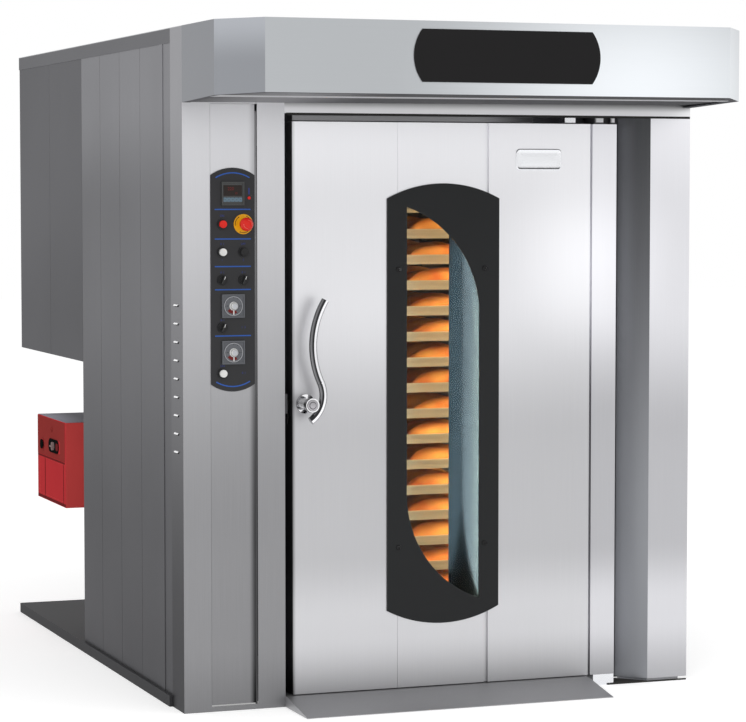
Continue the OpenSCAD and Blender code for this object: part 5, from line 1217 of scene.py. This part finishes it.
# %% [markdown]
# The casing's top is a separate sheet, dark in painted shade under the rear box, with a painted highlight
# along its left edge.

# %% Burner lid
LID_RIGHT, LID_NEAR, LID_FAR = 348.5, 1531.5, 1948.5
lid = bmesh.new()
slab(lid, bar(casing + 1.5, LID_NEAR, LID_RIGHT, LID_FAR), z_low=750.5, z_high=752.0)
piece("burner_top", lid, [burner_top], "oven")

# %% [markdown]
# Six screws hold the service hatch on the roof. They are the window's screw again, with
# its axis pointing up.

# %% Screws of the roof hatch
HATCH_FACE = 2051.5
hatch = bmesh.new()
for x in (600, 834, 1068):
    for y in (463, 773):
        screw(hatch, (x, y, HATCH_FACE), radius=7, height=4, axis=(0, 0, 1))
piece("hatch_screws", hatch, [zinc], "oven")

# %% [markdown]
# ## What bakes in the oven
# Every tray holds loaves, long across the rack and crowned. A loaf is a grid bent over a
# rounded cross-section: wide at the foot, full at the shoulder, with tapered ends and a
# scored top. Sculpting one and copying it would give equal loaves on all eighteen trays,
# so a formula draws them, and sizes differ a little from loaf to loaf.

# %% Loaf helper
SLICES, SIDES = 14, 10


def loaf(shape, foot, size, rng):
    """A crowned loaf of (length, width, height) whose foot is centred on a place."""
    x, y, z = foot
    length, width, height = size
    lean = rng.uniform(-0.1, 0.1)
    peak = rng.uniform(-0.25, 0.3)
    rows = []
    for i in range(SLICES + 1):
        u = -1 + 2 * i / SLICES
        taper = (1 - abs(u) ** 3.2) ** 0.5 if abs(u) < 1 else 0.0
        swell = 1 - 0.28 * (u - peak) ** 2
        row = []
        for j in range(SIDES + 1):
            t = math.pi * j / SIDES
            side = math.copysign(abs(math.cos(t)) ** 0.8, math.cos(t)) * width / 2 * taper
            rise = abs(math.sin(t)) ** 0.75 * height * taper * swell
            groove = math.exp(-((math.cos(t) - 0.1) * 7) ** 2)
            score = 1.8 * groove * (0.6 + 0.4 * math.cos(u * 14 + lean * 9))
            place = at(x + u * length / 2, y + side + u * lean * 20, z + max(rise - score * taper, 0))
            row.append(shape.verts.new(place))
        rows.append(row)
    for low, high in zip(rows, rows[1:]):
        for j in range(SIDES):
            shape.faces.new((low[j], high[j], high[j + 1], low[j + 1]))
        shape.faces.new((low[SIDES], high[SIDES], high[0], low[0]))


# %% Loaves
RACK_X, RACK_Y = 834, 618
TRAYS, FIRST_RIM, TRAY_PITCH = 18, 220, 81.5
TRAY_HALF, FIRST_ROW, ROW_PITCH, ROWS = 338, 68, 132, 5
COLUMN, FOOT_DROP = 137, 27.6
rng = random.Random(7)
for tray in range(TRAYS):
    rim = FIRST_RIM + TRAY_PITCH * tray
    loaves = bmesh.new()
    for row in range(ROWS):
        for column in (-1, 1):
            x = RACK_X + column * COLUMN + rng.uniform(-8, 8)
            y = RACK_Y - TRAY_HALF + FIRST_ROW + ROW_PITCH * row + rng.uniform(-5, 5)
            size = (rng.uniform(238, 254), rng.uniform(108, 118), rng.uniform(58, 68))
            loaf(loaves, (x, y, rim - FOOT_DROP), size, rng)
    bmesh.ops.remove_doubles(loaves, verts=loaves.verts[:], dist=1e-6)
    piece("loaves_%02d" % (tray + 1), loaves, [crust], "rack", smooth=60)

# %% [markdown]
# ## Studio
# A plain pale floor and a plain white room. A real studio has walls and lamps, which
# bright metal would mirror in the wrong places. So the camera, metal and glass see plain
# white, and a softer part of the room lights the object. The same trick keeps the floor
# white but lets it hold the oven's shadow.

# %% Floor
floor_shape = bmesh.new()
bmesh.ops.create_grid(floor_shape, x_segments=4, y_segments=4, size=30)
floor_mesh = bpy.data.meshes.new("floor")
floor_shape.to_mesh(floor_mesh)
floor_shape.free()
floor = bpy.data.objects.new("floor", floor_mesh)
bpy.context.scene.collection.objects.link(floor)
print("floor staged")

# %% What the eye sees as white
WHITE = (1, 1, 1, 1)


def seen(tree):
    """1 for rays from the camera, a mirror or a pane, and 0 for all others."""
    path = node(tree, "ShaderNodeLightPath").outputs
    first = work_out(tree, "MAXIMUM", path["Is Camera Ray"], path["Is Glossy Ray"])
    return work_out(tree, "MAXIMUM", first, path["Is Transmission Ray"])


def emptied(data):
    """The node tree of a material or a world, without the nodes that it starts with."""
    data.use_nodes = True
    data.node_tree.nodes.clear()
    return data.node_tree


pale = bpy.data.materials.new("pale floor")
tree = emptied(pale)
matt_floor = node(tree, "ShaderNodeBsdfDiffuse", {"Color": tone(235, 235, 235)})
glow = node(tree, "ShaderNodeEmission", {"Color": WHITE, "Strength": 0.45})
both = node(tree, "ShaderNodeAddShader", {0: matt_floor.outputs[0], 1: glow.outputs[0]})
choice = node(tree, "ShaderNodeMixShader", {0: seen(tree), 1: matt_floor.outputs[0], 2: both.outputs[0]})
node(tree, "ShaderNodeOutputMaterial", {"Surface": choice.outputs[0]})
floor_mesh.materials.append(pale)

room = bpy.data.worlds.new("room")
bpy.context.scene.world = room
tree = emptied(room)
level = node(tree, "ShaderNodeMapRange", {"Value": seen(tree), "To Min": 0.7, "To Max": 1.0})
sky = node(tree, "ShaderNodeBackground", {"Color": WHITE, "Strength": level.outputs[0]})
node(tree, "ShaderNodeOutputWorld", {"Surface": sky.outputs[0]})
print("room and floor made")

# %% [markdown]
# One wide soft lamp stands in front on the left, and a weaker one above. Metal mirrors
# the white room instead of the lamps, so it shows the colour it was given. A small lamp
# would draw hard shadows under the hood, which the photo doesn't have.


# %% Lamps
def lamp(name, place, aim, size, power, colour=(1, 1, 1)):
    """A rectangular lamp that mirrors don't show."""
    light = bpy.data.lights.new(name, "AREA")
    light.shape = "RECTANGLE"
    light.size, light.size_y = size
    light.energy = power
    light.color = colour
    made = bpy.data.objects.new(name, light)
    bpy.context.scene.collection.objects.link(made)
    made.location = place
    made.rotation_euler = (Vector(aim) - Vector(place)).to_track_quat("-Z", "Y").to_euler()
    made.visible_camera = False
    made.visible_glossy = False
    print("lamp", name, power, "watts")


lamp("key", place=(-4.5, -8.0, 4.0), aim=(0, 0, 1.0), size=(4.0, 4.0), power=150)
lamp("top", place=(1.0, -3.0, 7.0), aim=(0, 0, 1.2), size=(4.0, 4.0), power=90)

# %% [markdown]
# Two warm lamps inside the chamber stand behind the door frame and light the front of
# the rack, as the oven's own lamps do. Loaves that glow by themselves would look flat.

# %% Chamber lamps
WARM = (1.0, 0.78, 0.52)
for side, x in (("left", 400), ("right", 1270)):
    lamp("chamber_lamp_" + side, place=at(x, 175, 900), aim=at(RACK_X, 330, 900), size=(0.06, 1.5),
         power=25, colour=WARM)
